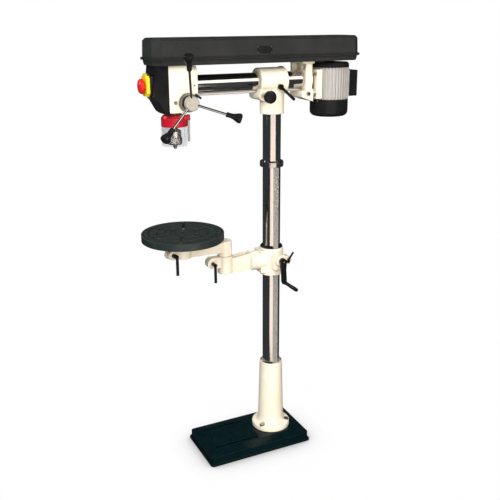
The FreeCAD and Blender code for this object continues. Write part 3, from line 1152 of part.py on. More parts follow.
def make_switch():
    face = "-switch_face"
    back = "-nose_reach+28"
    body = fuse(switch_plate("0", "3", f"{face}+3", "12"),
                box(("-switch_half_width+4.3", "switch_half_width-4.3"), (f"{face}+2", back),
                    ("switch_low+5.3", "switch_high-5.3")))
    middle = "(switch_low+switch_high)/2"
    holes = [cylinder("button_radius+0.4", "24", (0, f"{face}-5", f"{middle}{offset}"), BACK)
             for offset in ("+14", "-16")]
    hinge_y, hinge_z = f"{face}-3", "switch_high+1"
    switch_box = cut(body, *holes)
    for offset, label in (("+14", "start_button"), ("-16", "stop_button")):
        node(lathe([(0, 0), ("button_radius", 0), ("button_radius", 13), ("button_radius-1.5", 15),
                    (0, 15)], (0, f"{face}+13", f"{middle}{offset}"), FRONT), label)

    lid_back = f"{face}-part_gap"
    outer = switch_plate("0", "lid_depth", lid_back, "12")
    outer = eased(outer, "Fillet", 2.5, lambda edge: edge.Vertexes[0].Y < -size("switch_face")
                  - size("lid_depth") and edge.Vertexes[-1].Y < -size("switch_face")
                  - size("lid_depth"))
    room = switch_plate("2.5", "lid_depth-2.5", f"{lid_back}+0.01", "10")
    stem_hole = cylinder("5+run_gap", "40", (0, face, f"{middle}-2"), FRONT)
    knuckle = cylinder("3", "2*switch_half_width-26", ("-switch_half_width+13", hinge_y, hinge_z),
                       RIGHT)
    knuckle_web = box(("-switch_half_width+13", "switch_half_width-13"),
                      (f"{hinge_y}-3", hinge_y), ("switch_high-3", hinge_z))
    pin_hole = cylinder("1.5+run_gap", "100", ("-50", hinge_y, hinge_z), RIGHT)
    notches = [box((f"{x}-0.5", f"{x}+3.5"), (f"{hinge_y}-4.5", f"{face}+5"),
                   ("switch_high-4.5", "switch_high+5"))
               for x in ("-switch_half_width+9.5", "switch_half_width-12.5")]
    node(cut(fuse(outer, knuckle, knuckle_web), room, stem_hole, pin_hole, *notches), "switch_lid")
    pin = cylinder("1.5", "2*switch_half_width-18", ("-switch_half_width+9", hinge_y, hinge_z), RIGHT)
    lugs = [box((x, f"{x}+3"), (f"{hinge_y}-2.5", f"{face}+1.5"), ("switch_high-2", "switch_high+3.5"))
            for x in ("-switch_half_width+9.5", "switch_half_width-12.5")]
    node(fuse(switch_box, pin, *lugs), "switch_box")
    node(lathe([
        (0, 0), (8, 0), (8, "1.5"), (5, "1.5"), (5, 7), ("stop_radius-2", "8.5"),
        ("stop_radius", 12), ("stop_radius", 17), ("stop_radius-4", 22), ("stop_radius-12", 25),
        (0, 26)], (0, f"{face}-7.2", f"{middle}-2"), FRONT), "stop_mushroom")


make_base()
node(group(*make_support(), *make_column()), "stand_fasteners")
make_column_rack()
make_bracket()
make_crank()
make_arm()
make_link()
make_table()
make_cross_clamp()
make_ram_rack()
make_clamp_levers()
make_ram()
head_screws = make_head()
make_front_cover()
make_chuck()
make_feed()
make_guard()
make_cover()
make_drive()
tension_screws, plate_bolts = make_motor_mount()
node(group(*head_screws, *tension_screws), "head_fasteners")
node(group(*plate_bolts, *make_motor()), "motor_fasteners")
make_switch()

doc.recompute()
faults = [item.Name for item in doc.Objects if {"Invalid", "Error"} & set(item.State)]
faults += [item.Label for item in nodes if item.Shape.isNull() or not item.Shape.isValid()]
if faults:
    raise RuntimeError("could not be built: " + ", ".join(faults))
os.makedirs("parts", exist_ok=True)
for item in nodes:
    item.Shape.exportStep(f"parts/{item.Label}.step")
    print(item.Label, len(item.Shape.Solids), round(item.Shape.Volume))
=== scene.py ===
"""Looks for the radial drill press: materials, trim pieces, studio and camera."""
import json
import math
import bmesh
import bpy
from mathutils import Matrix, Vector


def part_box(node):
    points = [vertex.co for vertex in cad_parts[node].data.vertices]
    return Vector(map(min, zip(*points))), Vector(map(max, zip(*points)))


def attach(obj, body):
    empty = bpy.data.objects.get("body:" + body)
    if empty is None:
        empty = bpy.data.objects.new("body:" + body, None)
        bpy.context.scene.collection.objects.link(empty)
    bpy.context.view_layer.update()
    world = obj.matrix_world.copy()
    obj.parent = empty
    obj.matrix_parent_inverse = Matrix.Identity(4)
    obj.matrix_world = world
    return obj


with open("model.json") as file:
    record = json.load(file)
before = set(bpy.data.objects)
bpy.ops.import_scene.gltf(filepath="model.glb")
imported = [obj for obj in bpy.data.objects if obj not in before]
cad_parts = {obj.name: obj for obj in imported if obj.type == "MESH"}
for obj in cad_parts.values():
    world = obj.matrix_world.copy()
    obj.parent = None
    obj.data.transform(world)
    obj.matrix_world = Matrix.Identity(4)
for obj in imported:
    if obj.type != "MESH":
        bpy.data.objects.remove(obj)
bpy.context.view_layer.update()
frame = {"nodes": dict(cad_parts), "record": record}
nodes = frame["nodes"]


# ---------------------------------------------------------------- node helpers

class Look:
    """A material under construction: one Principled shader and the nodes that feed it."""

    def __init__(self, name, colour, roughness, metallic=0.0, **sockets):
        self.material = bpy.data.materials.new(name)
        self.material.use_nodes = True
        self.tree = self.material.node_tree
        self.shader = self.tree.nodes["Principled BSDF"]
        self.colour = self.rgb(colour)
        self.height = None
        self.normal = None
        self.shader.inputs["Roughness"].default_value = roughness
        self.shader.inputs["Metallic"].default_value = metallic
        for socket, value in sockets.items():
            self.shader.inputs[socket.replace("_", " ")].default_value = value
        self.place = self.node("ShaderNodeTexCoord").outputs["Object"]

    def node(self, kind, **settings):
        made = self.tree.nodes.new(kind)
        for key, value in settings.items():
            setattr(made, key, value)
        return made

    def join(self, value, socket):
        if isinstance(value, bpy.types.NodeSocket):
            self.tree.links.new(value, socket)
        else:
            socket.default_value = value

    def rgb(self, colour):
        made = self.node("ShaderNodeRGB")
        made.outputs[0].default_value = (*colour, 1)
        return made.outputs[0]

    def math(self, operation, a, b=0.0, clamp=False):
        made = self.node("ShaderNodeMath", operation=operation, use_clamp=clamp)
        self.join(a, made.inputs[0])
        self.join(b, made.inputs[1])
        return made.outputs[0]

    def fit(self, value, low, high, to_low=0.0, to_high=1.0):
        made = self.node("ShaderNodeMapRange")
        self.join(value, made.inputs["Value"])
        for socket, number in zip(("From Min", "From Max", "To Min", "To Max"),
                                  (low, high, to_low, to_high)):
            made.inputs[socket].default_value = number
        return made.outputs[0]

    def vector(self, operation, a, b):
        made = self.node("ShaderNodeVectorMath", operation=operation)
        self.join(a, made.inputs[0])
        self.join(b, made.inputs[1])
        return made.outputs["Vector"]

    def length(self, vector):
        made = self.node("ShaderNodeVectorMath", operation="LENGTH")
        self.join(vector, made.inputs[0])
        return made.outputs["Value"]

    def split(self, vector):
        """The X, Y and Z of a vector."""
        made = self.node("ShaderNodeSeparateXYZ")
        self.join(vector, made.inputs[0])
        return made.outputs

    def noise(self, scale, detail=3.0, stretch=(1, 1, 1), roughness=0.5):
        mapping = self.node("ShaderNodeMapping")
        mapping.inputs["Scale"].default_value = stretch
        self.join(self.place, mapping.inputs["Vector"])
        made = self.node("ShaderNodeTexNoise")
        made.inputs["Scale"].default_value = scale
        made.inputs["Detail"].default_value = detail
        made.inputs["Roughness"].default_value = roughness
        self.join(mapping.outputs[0], made.inputs["Vector"])
        return made.outputs["Fac"]

    def cells(self, scale, feature="F1"):
        made = self.node("ShaderNodeTexVoronoi", feature=feature)
        made.inputs["Scale"].default_value = scale
        self.join(self.place, made.inputs["Vector"])
        return made.outputs["Distance"]

    def tint(self, share, colour, amount=1.0):
        """Lays a colour over what is there, by a share that a texture gives."""
        made = self.node("ShaderNodeMix", data_type="RGBA")
        self.join(self.math("MULTIPLY", share, amount, clamp=True), made.inputs["Factor"])
        self.join(self.colour, made.inputs["A"])
        made.inputs["B"].default_value = (*colour, 1)
        self.colour = made.outputs["Result"]

    def rough(self, share, low, high):
        self.join(self.fit(share, 0.0, 1.0, low, high), self.shader.inputs["Roughness"])

    def bump(self, height, distance, strength=1.0):
        made = self.node("ShaderNodeBump")
        made.inputs["Strength"].default_value = strength
        made.inputs["Distance"].default_value = distance
        self.join(height, made.inputs["Height"])
        if self.normal is not None:
            self.join(self.normal, made.inputs["Normal"])
        self.normal = made.outputs[0]

    def soften(self, radius):
        """Rounds hard edges in the shading and returns how near an edge each point is."""
        made = self.node("ShaderNodeBevel", samples=6)
        made.inputs["Radius"].default_value = radius
        self.normal = made.outputs[0]
        flat = self.node("ShaderNodeNewGeometry").outputs["Normal"]
        dot = self.node("ShaderNodeVectorMath", operation="DOT_PRODUCT")
        self.join(made.outputs[0], dot.inputs[0])
        self.join(flat, dot.inputs[1])
        return self.fit(dot.outputs["Value"], 1.0, 0.9)

    def shade_and_grime(self, reach, colour, amount):
        """Painted shade where surfaces meet, with grime: darkens the colour by ambient occlusion."""
        made = self.node("ShaderNodeAmbientOcclusion", samples=6)
        made.inputs["Distance"].default_value = reach
        self.tint(self.fit(made.outputs["AO"], 0.85, 0.25), colour, amount)

    def done(self):
        self.join(self.colour, self.shader.inputs["Base Color"])
        if self.normal is not None:
            self.join(self.normal, self.shader.inputs["Normal"])
        return self.material


# ---------------------------------------------------------------- materials

def cast_paint(name, colour, shade, roughness=0.34, edge=0.0022):
    look = Look(name, colour, roughness, Coat_Weight=0.25, Coat_Roughness=0.12)
    rim = look.soften(edge)
    look.tint(look.fit(look.noise(14, 5), 0.42, 0.75), shade, 0.45)
    look.tint(look.fit(look.noise(160, 3), 0.62, 0.8), shade, 0.3)
    look.tint(rim, [min(1, c * 1.08) for c in colour], 0.5)
    # painted shade where surfaces meet, by ambient occlusion, in a brown grime colour
    look.shade_and_grime(0.012, (0.16, 0.12, 0.07), 0.42)
    look.rough(look.noise(60, 4), roughness - 0.08, roughness + 0.12)
    look.bump(look.noise(42, 4), 0.0011, 0.35)
    look.bump(look.noise(900, 2), 0.00018, 0.35)
    return look.done()


def gloss_paint(name, colour, sheen, roughness=0.16, edge=0.0012, peel=520):
    look = Look(name, colour, roughness, Coat_Weight=0.1, Coat_Roughness=0.08,
                Specular_IOR_Level=0.12)
    rim = look.soften(edge)
    look.tint(look.fit(look.noise(22, 4), 0.4, 0.8), sheen, 0.6)
    look.tint(rim, [c + 0.012 for c in colour], 0.55)
    look.rough(look.noise(35, 5), roughness - 0.05, roughness + 0.14)
    look.bump(look.noise(peel, 2), 0.00022, 0.3)
    return look.done()


def wrinkle_paint():
    look = Look("wrinkle_paint", (0.010, 0.011, 0.011), 0.4, Specular_IOR_Level=0.2)
    rim = look.soften(0.0025)
    creases = look.cells(420, "DISTANCE_TO_EDGE")
    # painted highlight and shade: wrinkle crests lighter, creases darker
    look.tint(look.fit(creases, 0.0, 0.22), (0.034, 0.036, 0.036), 0.8)
    look.tint(look.fit(look.noise(9, 4), 0.45, 0.75), (0.034, 0.034, 0.034), 0.5)
    # painted shade: the cover's edges darkened
    look.tint(rim, (0.002, 0.002, 0.002), 0.8)
    look.rough(look.noise(30, 4), 0.32, 0.52)
    look.bump(look.fit(creases, 0.0, 0.35), 0.0007, 0.55)
    look.bump(look.noise(260, 4), 0.0009, 0.7)
    return look.done()


def bare_metal(name, colour, roughness, stretch=(1, 1, 1), grain=500, stain=(0.2, 0.17, 0.13),
               stain_share=0.25, metallic=1.0):
    look = Look(name, colour, roughness, metallic)
    rim = look.soften(0.0006)
    look.tint(look.fit(look.noise(30, 5), 0.5, 0.8), stain, stain_share)
    look.tint(rim, (0.9, 0.9, 0.88), 0.4)
    look.rough(look.noise(grain / 4, 4, stretch), roughness * 0.7, roughness * 1.4)
    look.bump(look.noise(grain, 3, stretch), 0.00012, 0.3)
    return look.done()


def polished_bar(name, along, tone=(0.74, 0.71, 0.68)):
    """Chromed bar: faint grinding rings across its length and light haze."""
    look = Look(name, tone, 0.1, 1.0)
    rings = look.noise(30, 3, [80 if axis == along else 0.6 for axis in range(3)])
    streaks = look.noise(26, 4, [0.35 if axis == along else 3.0 for axis in range(3)])
    look.tint(look.fit(streaks, 0.45, 0.8), (0.50, 0.45, 0.40), 0.4)
    look.tint(look.fit(look.noise(120, 5), 0.62, 0.85), (0.30, 0.26, 0.22), 0.25)
    look.rough(rings, 0.06, 0.17)
    look.bump(rings, 0.00004, 0.25)
    return look.done()


def toothed_steel():
    look = Look("rack_steel", (0.66, 0.64, 0.60), 0.42, 0.35)
    look.soften(0.0004)
    look.tint(look.fit(look.noise(90, 5), 0.45, 0.75), (0.40, 0.38, 0.35), 0.6)
    # painted shade: ambient occlusion darkens the rack's teeth and recesses nearly to black
    look.shade_and_grime(0.004, (0.02, 0.018, 0.015), 0.95)
    look.rough(look.noise(160, 4), 0.3, 0.6)
    look.bump(look.noise(900, 2), 0.0001, 0.4)
    return look.done()


def turned_table(centre):
    """Ground cast iron with turned rings round the table's centre."""
    look = Look("turned_table", (0.018, 0.028, 0.028), 0.36, 0.15, Specular_IOR_Level=0.35)
    rim = look.soften(0.0012)
    from_centre = look.vector("SUBTRACT", look.place, centre)
    reach = look.length(look.vector("MULTIPLY", from_centre, (1, 1, 0)))
    fine = look.math("SINE", look.math("MULTIPLY", reach, 7000.0))
    wide = look.math("SINE", look.math("MULTIPLY", reach, 560.0))
    facing = look.split(look.node("ShaderNodeNewGeometry").outputs["Normal"])
    top = look.fit(facing["Z"], 0.6, 0.9)
    look.tint(look.fit(look.noise(18, 5), 0.4, 0.75), (0.014, 0.023, 0.023), 0.7)
    look.tint(look.math("MULTIPLY", look.fit(wide, 0.2, 1.0), top), (0.075, 0.084, 0.080), 0.4)
    groove = 0.0
    for at in (0.030, 0.0445, 0.066, 0.094, 0.127, 0.1445):
        near = look.math("ABSOLUTE", look.math("SUBTRACT", reach, at))
        groove = look.math("MAXIMUM", groove, look.fit(near, 0.0020, 0.0010))
    groove = look.math("MULTIPLY", groove, top)
    look.tint(groove, (0.001, 0.002, 0.002), 1.0)
    look.tint(look.fit(look.noise(26, 5), 0.55, 0.75), (0.12, 0.082, 0.05), 0.35)
    # painted sheen: the table's edges tinted brown
    look.tint(rim, (0.16, 0.12, 0.09), 0.5)
    # painted shade: ambient occlusion darkens the table's slots and corners
    look.shade_and_grime(0.01, (0.012, 0.012, 0.01), 0.7)
    look.rough(look.noise(50, 4), 0.27, 0.5)
    look.bump(look.math("MULTIPLY", fine, top), 0.00003, 0.5)
    look.bump(look.math("MULTIPLY", groove, -1.0), 0.0012, 0.8)
    look.bump(look.noise(400, 3), 0.00015, 0.3)
    return look.done()


def blasted_alloy():
    look = Look("blasted_alloy", (0.62, 0.58, 0.50), 0.5, 0.55)
    rim = look.soften(0.0012)
    look.tint(look.fit(look.noise(700, 2), 0.45, 0.65), (0.34, 0.31, 0.26), 0.55)
    look.tint(look.fit(look.noise(60, 4), 0.5, 0.75), (0.44, 0.40, 0.33), 0.5)
    look.tint(rim, (0.85, 0.82, 0.76), 0.5)
    look.rough(look.noise(200, 4), 0.4, 0.62)
    look.bump(look.noise(850, 3), 0.0003, 0.6)
    return look.done()


def moulded(name, colour, second, roughness=0.24, grain=0.0, **sockets):
    look = Look(name, colour, roughness, **sockets)
    rim = look.soften(0.0009)
    look.tint(look.fit(look.noise(40, 4), 0.4, 0.75), second, 0.45)
    look.tint(rim, [min(1, c * 1.15 + 0.02) for c in colour], 0.5)
    look.rough(look.noise(70, 4), roughness - 0.05, roughness + 0.13)
    look.bump(look.noise(1400 if grain else 300, 2), 0.0002 if grain else 0.00008, grain or 0.25)
    return look.done()


def clear_plastic():
    look = Look("clear_plastic", (0.93, 0.95, 0.95), 0.05, Transmission_Weight=0.92, IOR=1.12,
                Alpha=0.2)
    look.tint(look.fit(look.noise(30, 4), 0.5, 0.8), (0.72, 0.78, 0.80), 0.4)
    look.rough(look.noise(240, 5, (1, 1, 0.2)), 0.02, 0.16)
    look.bump(look.noise(90, 3), 0.0004, 0.2)
    return look.done()


def knurled(centre):
    """Ground steel with a diamond knurl in a band round the spindle's axis."""
    look = Look("knurled_steel", (0.52, 0.52, 0.51), 0.26, 1.0)
    rim = look.soften(0.0006)
    offset = look.split(look.vector("SUBTRACT", look.place, centre))
    turns = look.math("MULTIPLY", look.math("ARCTAN2", offset["Y"], offset["X"]), 30.0)
    rise = look.math("MULTIPLY", offset["Z"], 1100.0)
    one = look.math("SINE", look.math("ADD", turns, rise))
    two = look.math("SINE", look.math("SUBTRACT", turns, rise))
    band = look.math("MULTIPLY", look.fit(offset["Z"], 0.0045, 0.006),
                     look.fit(offset["Z"], 0.0235, 0.022))
    knurl = look.math("MULTIPLY", look.math("MULTIPLY", one, two), band)
    look.tint(look.fit(knurl, 0.1, -0.6), (0.12, 0.11, 0.10), 0.6)
    look.tint(look.fit(look.noise(60, 5), 0.5, 0.75), (0.28, 0.25, 0.22), 0.4)
    look.tint(rim, (0.88, 0.88, 0.86), 0.4)
    look.rough(look.noise(120, 4), 0.18, 0.38)
    look.bump(knurl, 0.0005, 0.7)
    return look.done()


def graduated(axis_y, axis_z):
    """Black enamel with pale graduation marks round the feed's axis."""
    look = Look("graduated_enamel", (0.016, 0.016, 0.017), 0.24, Coat_Weight=0.3)
    rim = look.soften(0.001)
    from_axis = look.vector("SUBTRACT", look.place, (0, axis_y, axis_z))
    reach = look.length(look.vector("MULTIPLY", from_axis, (0, 1, 1)))
    offset = look.split(from_axis)
    turn = look.math("ARCTAN2", offset["Z"], offset["Y"])
    marks = look.fit(look.math("COSINE", look.math("MULTIPLY", turn, 60.0)), 0.72, 0.86)
    band = look.math("MULTIPLY", look.fit(reach, 0.0248, 0.0253), look.fit(reach, 0.0300, 0.0295))
    arc = look.math("MULTIPLY", look.fit(reach, 0.0300, 0.0303), look.fit(reach, 0.0312, 0.0309))
    look.tint(look.math("MULTIPLY", marks, band), (0.72, 0.70, 0.64), 0.9)
    look.tint(arc, (0.72, 0.70, 0.64), 0.75)
    look.tint(look.fit(look.noise(40, 4), 0.45, 0.8), (0.035, 0.035, 0.036), 0.6)
    look.tint(rim, (0.08, 0.08, 0.08), 0.5)
    look.rough(look.noise(60, 4), 0.18, 0.34)
    look.bump(look.noise(500, 2), 0.0001, 0.3)
    return look.done()


def rubber():
    look = Look("belt_rubber", (0.022, 0.022, 0.022), 0.75)
    look.tint(look.fit(look.noise(90, 4), 0.45, 0.7), (0.05, 0.048, 0.045), 0.7)
    look.rough(look.noise(120, 4), 0.6, 0.85)
    look.bump(look.noise(700, 3), 0.0003, 0.5)
    return look.done()


table_low, table_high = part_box("table")
chuck_low, chuck_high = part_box("chuck")
feed_low, feed_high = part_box("feed_shaft")
CREAM, CREAM_SHADE = (0.83, 0.77, 0.64), (0.70, 0.62, 0.47)
looks = {
    "base_enamel": gloss_paint("base_enamel", (0.001, 0.007, 0.009), (0.003, 0.014, 0.017), 0.2,
                               0.003, 260),
    "cast_enamel": cast_paint("cast_enamel", CREAM, CREAM_SHADE),
    "column_chrome": polished_bar("column_chrome", 2),
    "ram_chrome": polished_bar("ram_chrome", 1),
    "rack_steel": toothed_steel(),
    "ring_steel": bare_metal("ring_steel", (0.62, 0.60, 0.57), 0.16, (1, 1, 12), 300),
    "zinc": bare_metal("zinc", (0.55, 0.54, 0.50), 0.3, stain=(0.26, 0.22, 0.15)),
    "machined_steel": bare_metal("machined_steel", (0.50, 0.50, 0.49), 0.26, (1, 1, 9)),
    "black_enamel": gloss_paint("black_enamel", (0.006, 0.006, 0.007), (0.014, 0.014, 0.015)),
    "black_plastic": moulded("black_plastic", (0.007, 0.007, 0.008), (0.016, 0.016, 0.017), 0.2,
                             Specular_IOR_Level=0.3),
    "table_iron": turned_table((table_low + table_high) / 2),
    "cover_wrinkle": wrinkle_paint(),
    "chuck_steel": knurled((0, (chuck_low.y + chuck_high.y) / 2, chuck_low.z)),
    "rod_chrome": bare_metal("rod_chrome", (0.80, 0.80, 0.79), 0.09, stain_share=0.15),
    "hub_metal": blasted_alloy(),
    "guard_plastic": moulded("guard_plastic", (0.40, 0.008, 0.022), (0.30, 0.006, 0.018), 0.22,
                             Subsurface_Weight=0.04),
    "shield_clear": clear_plastic(),
    "pulley_alloy": bare_metal("pulley_alloy", (0.58, 0.58, 0.57), 0.34, (1, 1, 14), 260),
    "belt_rubber": rubber(),
    "motor_silver": cast_paint("motor_silver", (0.50, 0.49, 0.47), (0.36, 0.35, 0.33), 0.36, 0.0008),
    "motor_black": gloss_paint("motor_black", (0.008, 0.008, 0.009), (0.018, 0.018, 0.019), 0.26,
                               0.002, 380),
    "switch_black": moulded("switch_black", (0.02, 0.02, 0.021), (0.04, 0.04, 0.04), 0.4, 0.5),
    "switch_yellow": moulded("switch_yellow", (0.86, 0.60, 0.02), (0.78, 0.50, 0.015), 0.22),
    "stop_red": moulded("stop_red", (0.62, 0.015, 0.012), (0.48, 0.01, 0.01), 0.2),
    "start_green": moulded("start_green", (0.02, 0.30, 0.06), (0.015, 0.22, 0.05), 0.22),
}
own_looks = {
    "depth_ring": graduated((feed_low.y + feed_high.y) / 2, (feed_low.z + feed_high.z) / 2),
    "bracket_lock": looks["black_enamel"],
}

slot_of = {part["node"]: part["material_slot"] for part in frame["record"]["subparts"]}
for name, thing in nodes.items():
    look = own_looks.get(name) or looks[slot_of[name]]
    for entry in thing.material_slots:
        entry.material = look
    if not thing.material_slots:
        thing.data.materials.append(look)


# ---------------------------------------------------------------- trim pieces

SMOOTH_BELOW = math.radians(35)
RIVET_SIDES = 24


def finish_piece(name, work, slot, body):
    """Turns a finished bmesh into a piece with its slot's material, riding on a body."""
    bmesh.ops.recalc_face_normals(work, faces=work.faces)
    mesh = bpy.data.meshes.new(name)
    work.to_mesh(mesh)
    work.free()
    thing = bpy.data.objects.new(name, mesh)
    bpy.context.scene.collection.objects.link(thing)
    mesh.materials.append(looks[slot])
    mesh.shade_smooth()
    mesh.set_sharp_from_angle(angle=SMOOTH_BELOW)
    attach(thing, body)


def bridge(work, before, after):
    """Joins two closed loops of vertices with a band of faces."""
    for corner in range(len(before)):
        other = (corner + 1) % len(before)
        work.faces.new((before[corner], after[corner], after[other], before[other]))


def split_ring_piece(name, profile, centre, gap, slot, body, segments=96):
    """A ring round +Z, split on its +X side: its closed section of (radius, height) is swept."""
    work = bmesh.new()
    sections = []
    for index in range(segments + 1):
        angle = gap + (math.tau - 2 * gap) * index / segments
        sections.append([work.verts.new(Vector(centre) + Vector(
            (radius * math.cos(angle), radius * math.sin(angle), height)))
            for radius, height in profile])
    for before, after in zip(sections, sections[1:]):
        bridge(work, before, after)
    work.faces.new(sections[0])
    work.faces.new(sections[-1][::-1])
    finish_piece(name, work, slot, body)


def rivet_piece(name, at, radius, slot, body):
    """A low domed rivet head, facing +X."""
    work = bmesh.new()
    turn = Vector((0, 0, 1)).rotation_difference(Vector((1, 0, 0))).to_matrix()
    rings = [(radius, 0.0), (radius, radius * 0.25), (radius * 0.8, radius * 0.5),
             (radius * 0.4, radius * 0.62)]
    loops = []
    for reach, height in rings:
        loop = []
        for side in range(RIVET_SIDES):
            angle = math.tau * side / RIVET_SIDES
            rim = Vector((reach * math.cos(angle), reach * math.sin(angle), height))
            loop.append(work.verts.new(Vector(at) + turn @ rim))
        loops.append(loop)
    for before, after in zip(loops, loops[1:]):
        bridge(work, before, after)
    work.faces.new(loops[-1])
    work.faces.new(loops[0][::-1])
    finish_piece(name, work, slot, body)


# wiper ring where the column leaves the table bracket, split to clear the rack
WIPER_GAP = 0.0003
RACK_GAP = 0.002
bracket_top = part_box("table_bracket")[1].z
column_low, column_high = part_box("column")
rack_low, rack_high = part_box("column_rack")
wiper_in = (column_high.x - column_low.x) / 2 + WIPER_GAP
wiper_split = math.asin(((rack_high.y - rack_low.y) / 2 + RACK_GAP) / wiper_in)
wiper_section = [(wiper_in, 0.0), (wiper_in + 0.0075, 0.0), (wiper_in + 0.0098, 0.003),
                 (wiper_in + 0.0072, 0.0075), (wiper_in + 0.0032, 0.0098), (wiper_in, 0.0102)]
split_ring_piece("column_wiper", wiper_section, (0, 0, bracket_top), wiper_split,
                 "black_plastic", "bracket")

# blank plate with a rivet in each corner, on the sloping +X side of the belt cover's lid
SIDE_FOOT_X, SIDE_FOOT_Z = 0.078, 1.6003
SIDE_LEAN = math.radians(2.5)
PLATE_THICK, PLATE_LONG, PLATE_TALL = 0.0016, 0.058, 0.025
PLATE_Y, PLATE_Z = -0.070, 1.624
PLATE_CORNER = 0.004
RIVET_RADIUS, RIVET_ACROSS, RIVET_UP = 0.0016, 0.026, 0.0095


def side_x(z):
    """The lid's side at a height."""
    return SIDE_FOOT_X - (z - SIDE_FOOT_Z) * math.tan(SIDE_LEAN)


def runs_through(edge):
    """Whether an edge of the plate goes through its thickness."""
    return abs(edge.verts[0].co.x - edge.verts[1].co.x) > PLATE_THICK / 2


plate = bmesh.new()
bmesh.ops.create_cube(plate, size=1.0, matrix=Matrix.Diagonal((PLATE_THICK, PLATE_LONG, PLATE_TALL, 1)))
bmesh.ops.bevel(plate, geom=[edge for edge in plate.edges if runs_through(edge)],
                offset=PLATE_CORNER, segments=4, affect="EDGES", profile=0.5)
plate_place = Matrix.Translation((side_x(PLATE_Z) + 0.0006, PLATE_Y, PLATE_Z))
bmesh.ops.transform(plate, verts=plate.verts,
                    matrix=plate_place @ Matrix.Rotation(-SIDE_LEAN, 4, "Y"))
finish_piece("cover_plate", plate, "black_plastic", "lid")
corners = [(y, z) for z in (-RIVET_UP, RIVET_UP) for y in (-RIVET_ACROSS, RIVET_ACROSS)]
for number, (across, rise) in enumerate(corners, start=1):
    rivet_y, rivet_z = PLATE_Y + across, PLATE_Z + rise
    rivet_piece(f"plate_rivet_{number}", (side_x(rivet_z) + 0.0014, rivet_y, rivet_z),
                RIVET_RADIUS, "zinc", "lid")

# ---------------------------------------------------------------- studio and camera

camera_place = Vector((2.43295, -1.27033, 1.72372))
forward = Vector((-0.8572, 0.4141, -0.3061)).normalized()
camera = bpy.data.objects.new("camera", bpy.data.cameras.new("camera"))
bpy.context.scene.collection.objects.link(camera)
camera.data.lens = 51.46
camera.data.sensor_width = 36.0
right = forward.cross(Vector((0, 0, 1))).normalized()
up = right.cross(forward)
roll = math.radians(-0.3)
right, up = (math.cos(roll) * right + math.sin(roll) * up,
             -math.sin(roll) * right + math.cos(roll) * up)
camera.matrix_world = Matrix((
    (right.x, up.x, -forward.x, camera_place.x),
    (right.y, up.y, -forward.y, camera_place.y),
    (right.z, up.z, -forward.z, camera_place.z),
    (0, 0, 0, 1)))
camera.data.clip_end = 200
bpy.context.scene.camera = camera


def studio_floor():
    """White sweep that carries only the soft contact shadow under the object."""
    look = Look("studio_floor", (0.0, 0.0, 0.0), 0.9)
    near = look.node("ShaderNodeAmbientOcclusion", samples=12)
    near.inputs["Distance"].default_value = 0.11
    wide = look.node("ShaderNodeAmbientOcclusion", samples=12)
    wide.inputs["Distance"].default_value = 0.3
    shade = look.math("MULTIPLY", look.fit(near.outputs["AO"], 0.45, 0.97, 0.42, 1.0),
                      look.fit(wide.outputs["AO"], 0.4, 0.95, 0.86, 1.0))
    grain = look.fit(look.noise(4, 3), 0.3, 0.7, 0.997, 1.0)
    look.join(look.math("MULTIPLY", shade, grain), look.shader.inputs["Emission Strength"])
    look.shader.inputs["Emission Color"].default_value = (1, 1, 1, 1)
    look.shader.inputs["Specular IOR Level"].default_value = 0.0
    return look.done()


floor_mesh = bpy.data.meshes.new("floor")
floor_mesh.from_pydata([(-30, -30, 0), (30, -30, 0), (30, 30, 0), (-30, 30, 0)], [], [(0, 1, 2, 3)])
floor_mesh.materials.append(studio_floor())
floor = bpy.data.objects.new("floor", floor_mesh)
floor.location.z = -0.0005
floor.visible_diffuse = floor.visible_glossy = floor.visible_transmission = False
floor.visible_shadow = False
bpy.context.scene.collection.objects.link(floor)

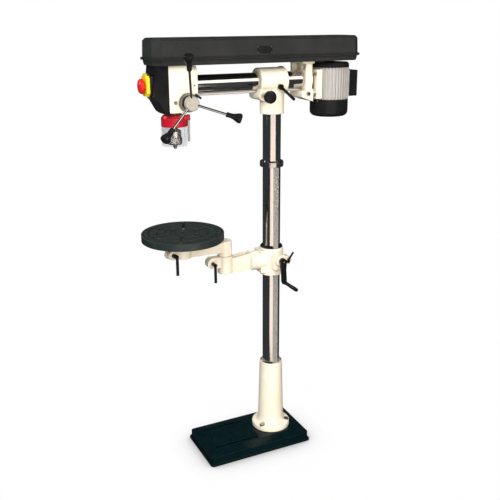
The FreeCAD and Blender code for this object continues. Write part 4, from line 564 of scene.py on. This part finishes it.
world = bpy.data.worlds.new("studio")
world.use_nodes = True
tree = world.node_tree
room = tree.nodes["Background"]
room.inputs["Color"].default_value = (0.80, 0.94, 1.0, 1)
room.inputs["Strength"].default_value = 0.05
backdrop = tree.nodes.new("ShaderNodeBackground")
backdrop.inputs["Color"].default_value = (1, 1, 1, 1)
backdrop.inputs["Strength"].default_value = 1.0
choose = tree.nodes.new("ShaderNodeMixShader")
tree.links.new(tree.nodes.new("ShaderNodeLightPath").outputs["Is Camera Ray"], choose.inputs[0])
tree.links.new(room.outputs[0], choose.inputs[1])
tree.links.new(backdrop.outputs[0], choose.inputs[2])
tree.links.new(choose.outputs[0], tree.nodes["World Output"].inputs["Surface"])
bpy.context.scene.world = world
bpy.context.scene.view_settings.view_transform = "Standard"


STUDIO_AIM = Vector((0, -0.1, 1.15))


def panel(name, azimuth, elevation, distance, width, height, power, colour=(1, 1, 1), shiny=True):
    """A soft panel aimed at the object's middle; azimuth is measured like the camera's."""
    lamp = bpy.data.lights.new(name, "AREA")
    lamp.shape = "RECTANGLE"
    lamp.size = width
    lamp.size_y = height
    lamp.energy = power
    lamp.color = colour
    around, rise = math.radians(azimuth), math.radians(elevation)
    out = Vector((math.sin(around) * math.cos(rise), -math.cos(around) * math.cos(rise),
                  math.sin(rise)))
    thing = bpy.data.objects.new(name, lamp)
    thing.location = STUDIO_AIM + out * distance
    thing.rotation_mode = "QUATERNION"
    thing.rotation_quaternion = (-out).to_track_quat("-Z", "Y")
    thing.visible_glossy = shiny
    bpy.context.scene.collection.objects.link(thing)


CAMERA_AZIMUTH = 62.4
panel("bank", CAMERA_AZIMUTH + 16, -20, 3.6, 4.1, 2.4, 40, (1.0, 0.87, 0.78))
panel("key", CAMERA_AZIMUTH + 27, 12, 3.6, 3.9, 3.0, 125, (1.0, 0.96, 0.91), False)
panel("front", CAMERA_AZIMUTH - 22, 36, 3.6, 2.4, 2.0, 130, (1.0, 0.98, 0.95), False)
panel("side", CAMERA_AZIMUTH + 60, 30, 3.8, 2.4, 2.0, 30, (1.0, 0.92, 0.86))
panel("rim", CAMERA_AZIMUTH - 100, 30, 3.6, 0.7, 2.4, 22, (0.9, 0.97, 1.0))
panel("under", CAMERA_AZIMUTH - 25, -25, 3.2, 2.4, 1.4, 24, (1.0, 0.97, 0.92), False)
panel("back", CAMERA_AZIMUTH + 180, 30, 4.0, 2.6, 2.0, 110, (1.0, 0.98, 0.96), False)
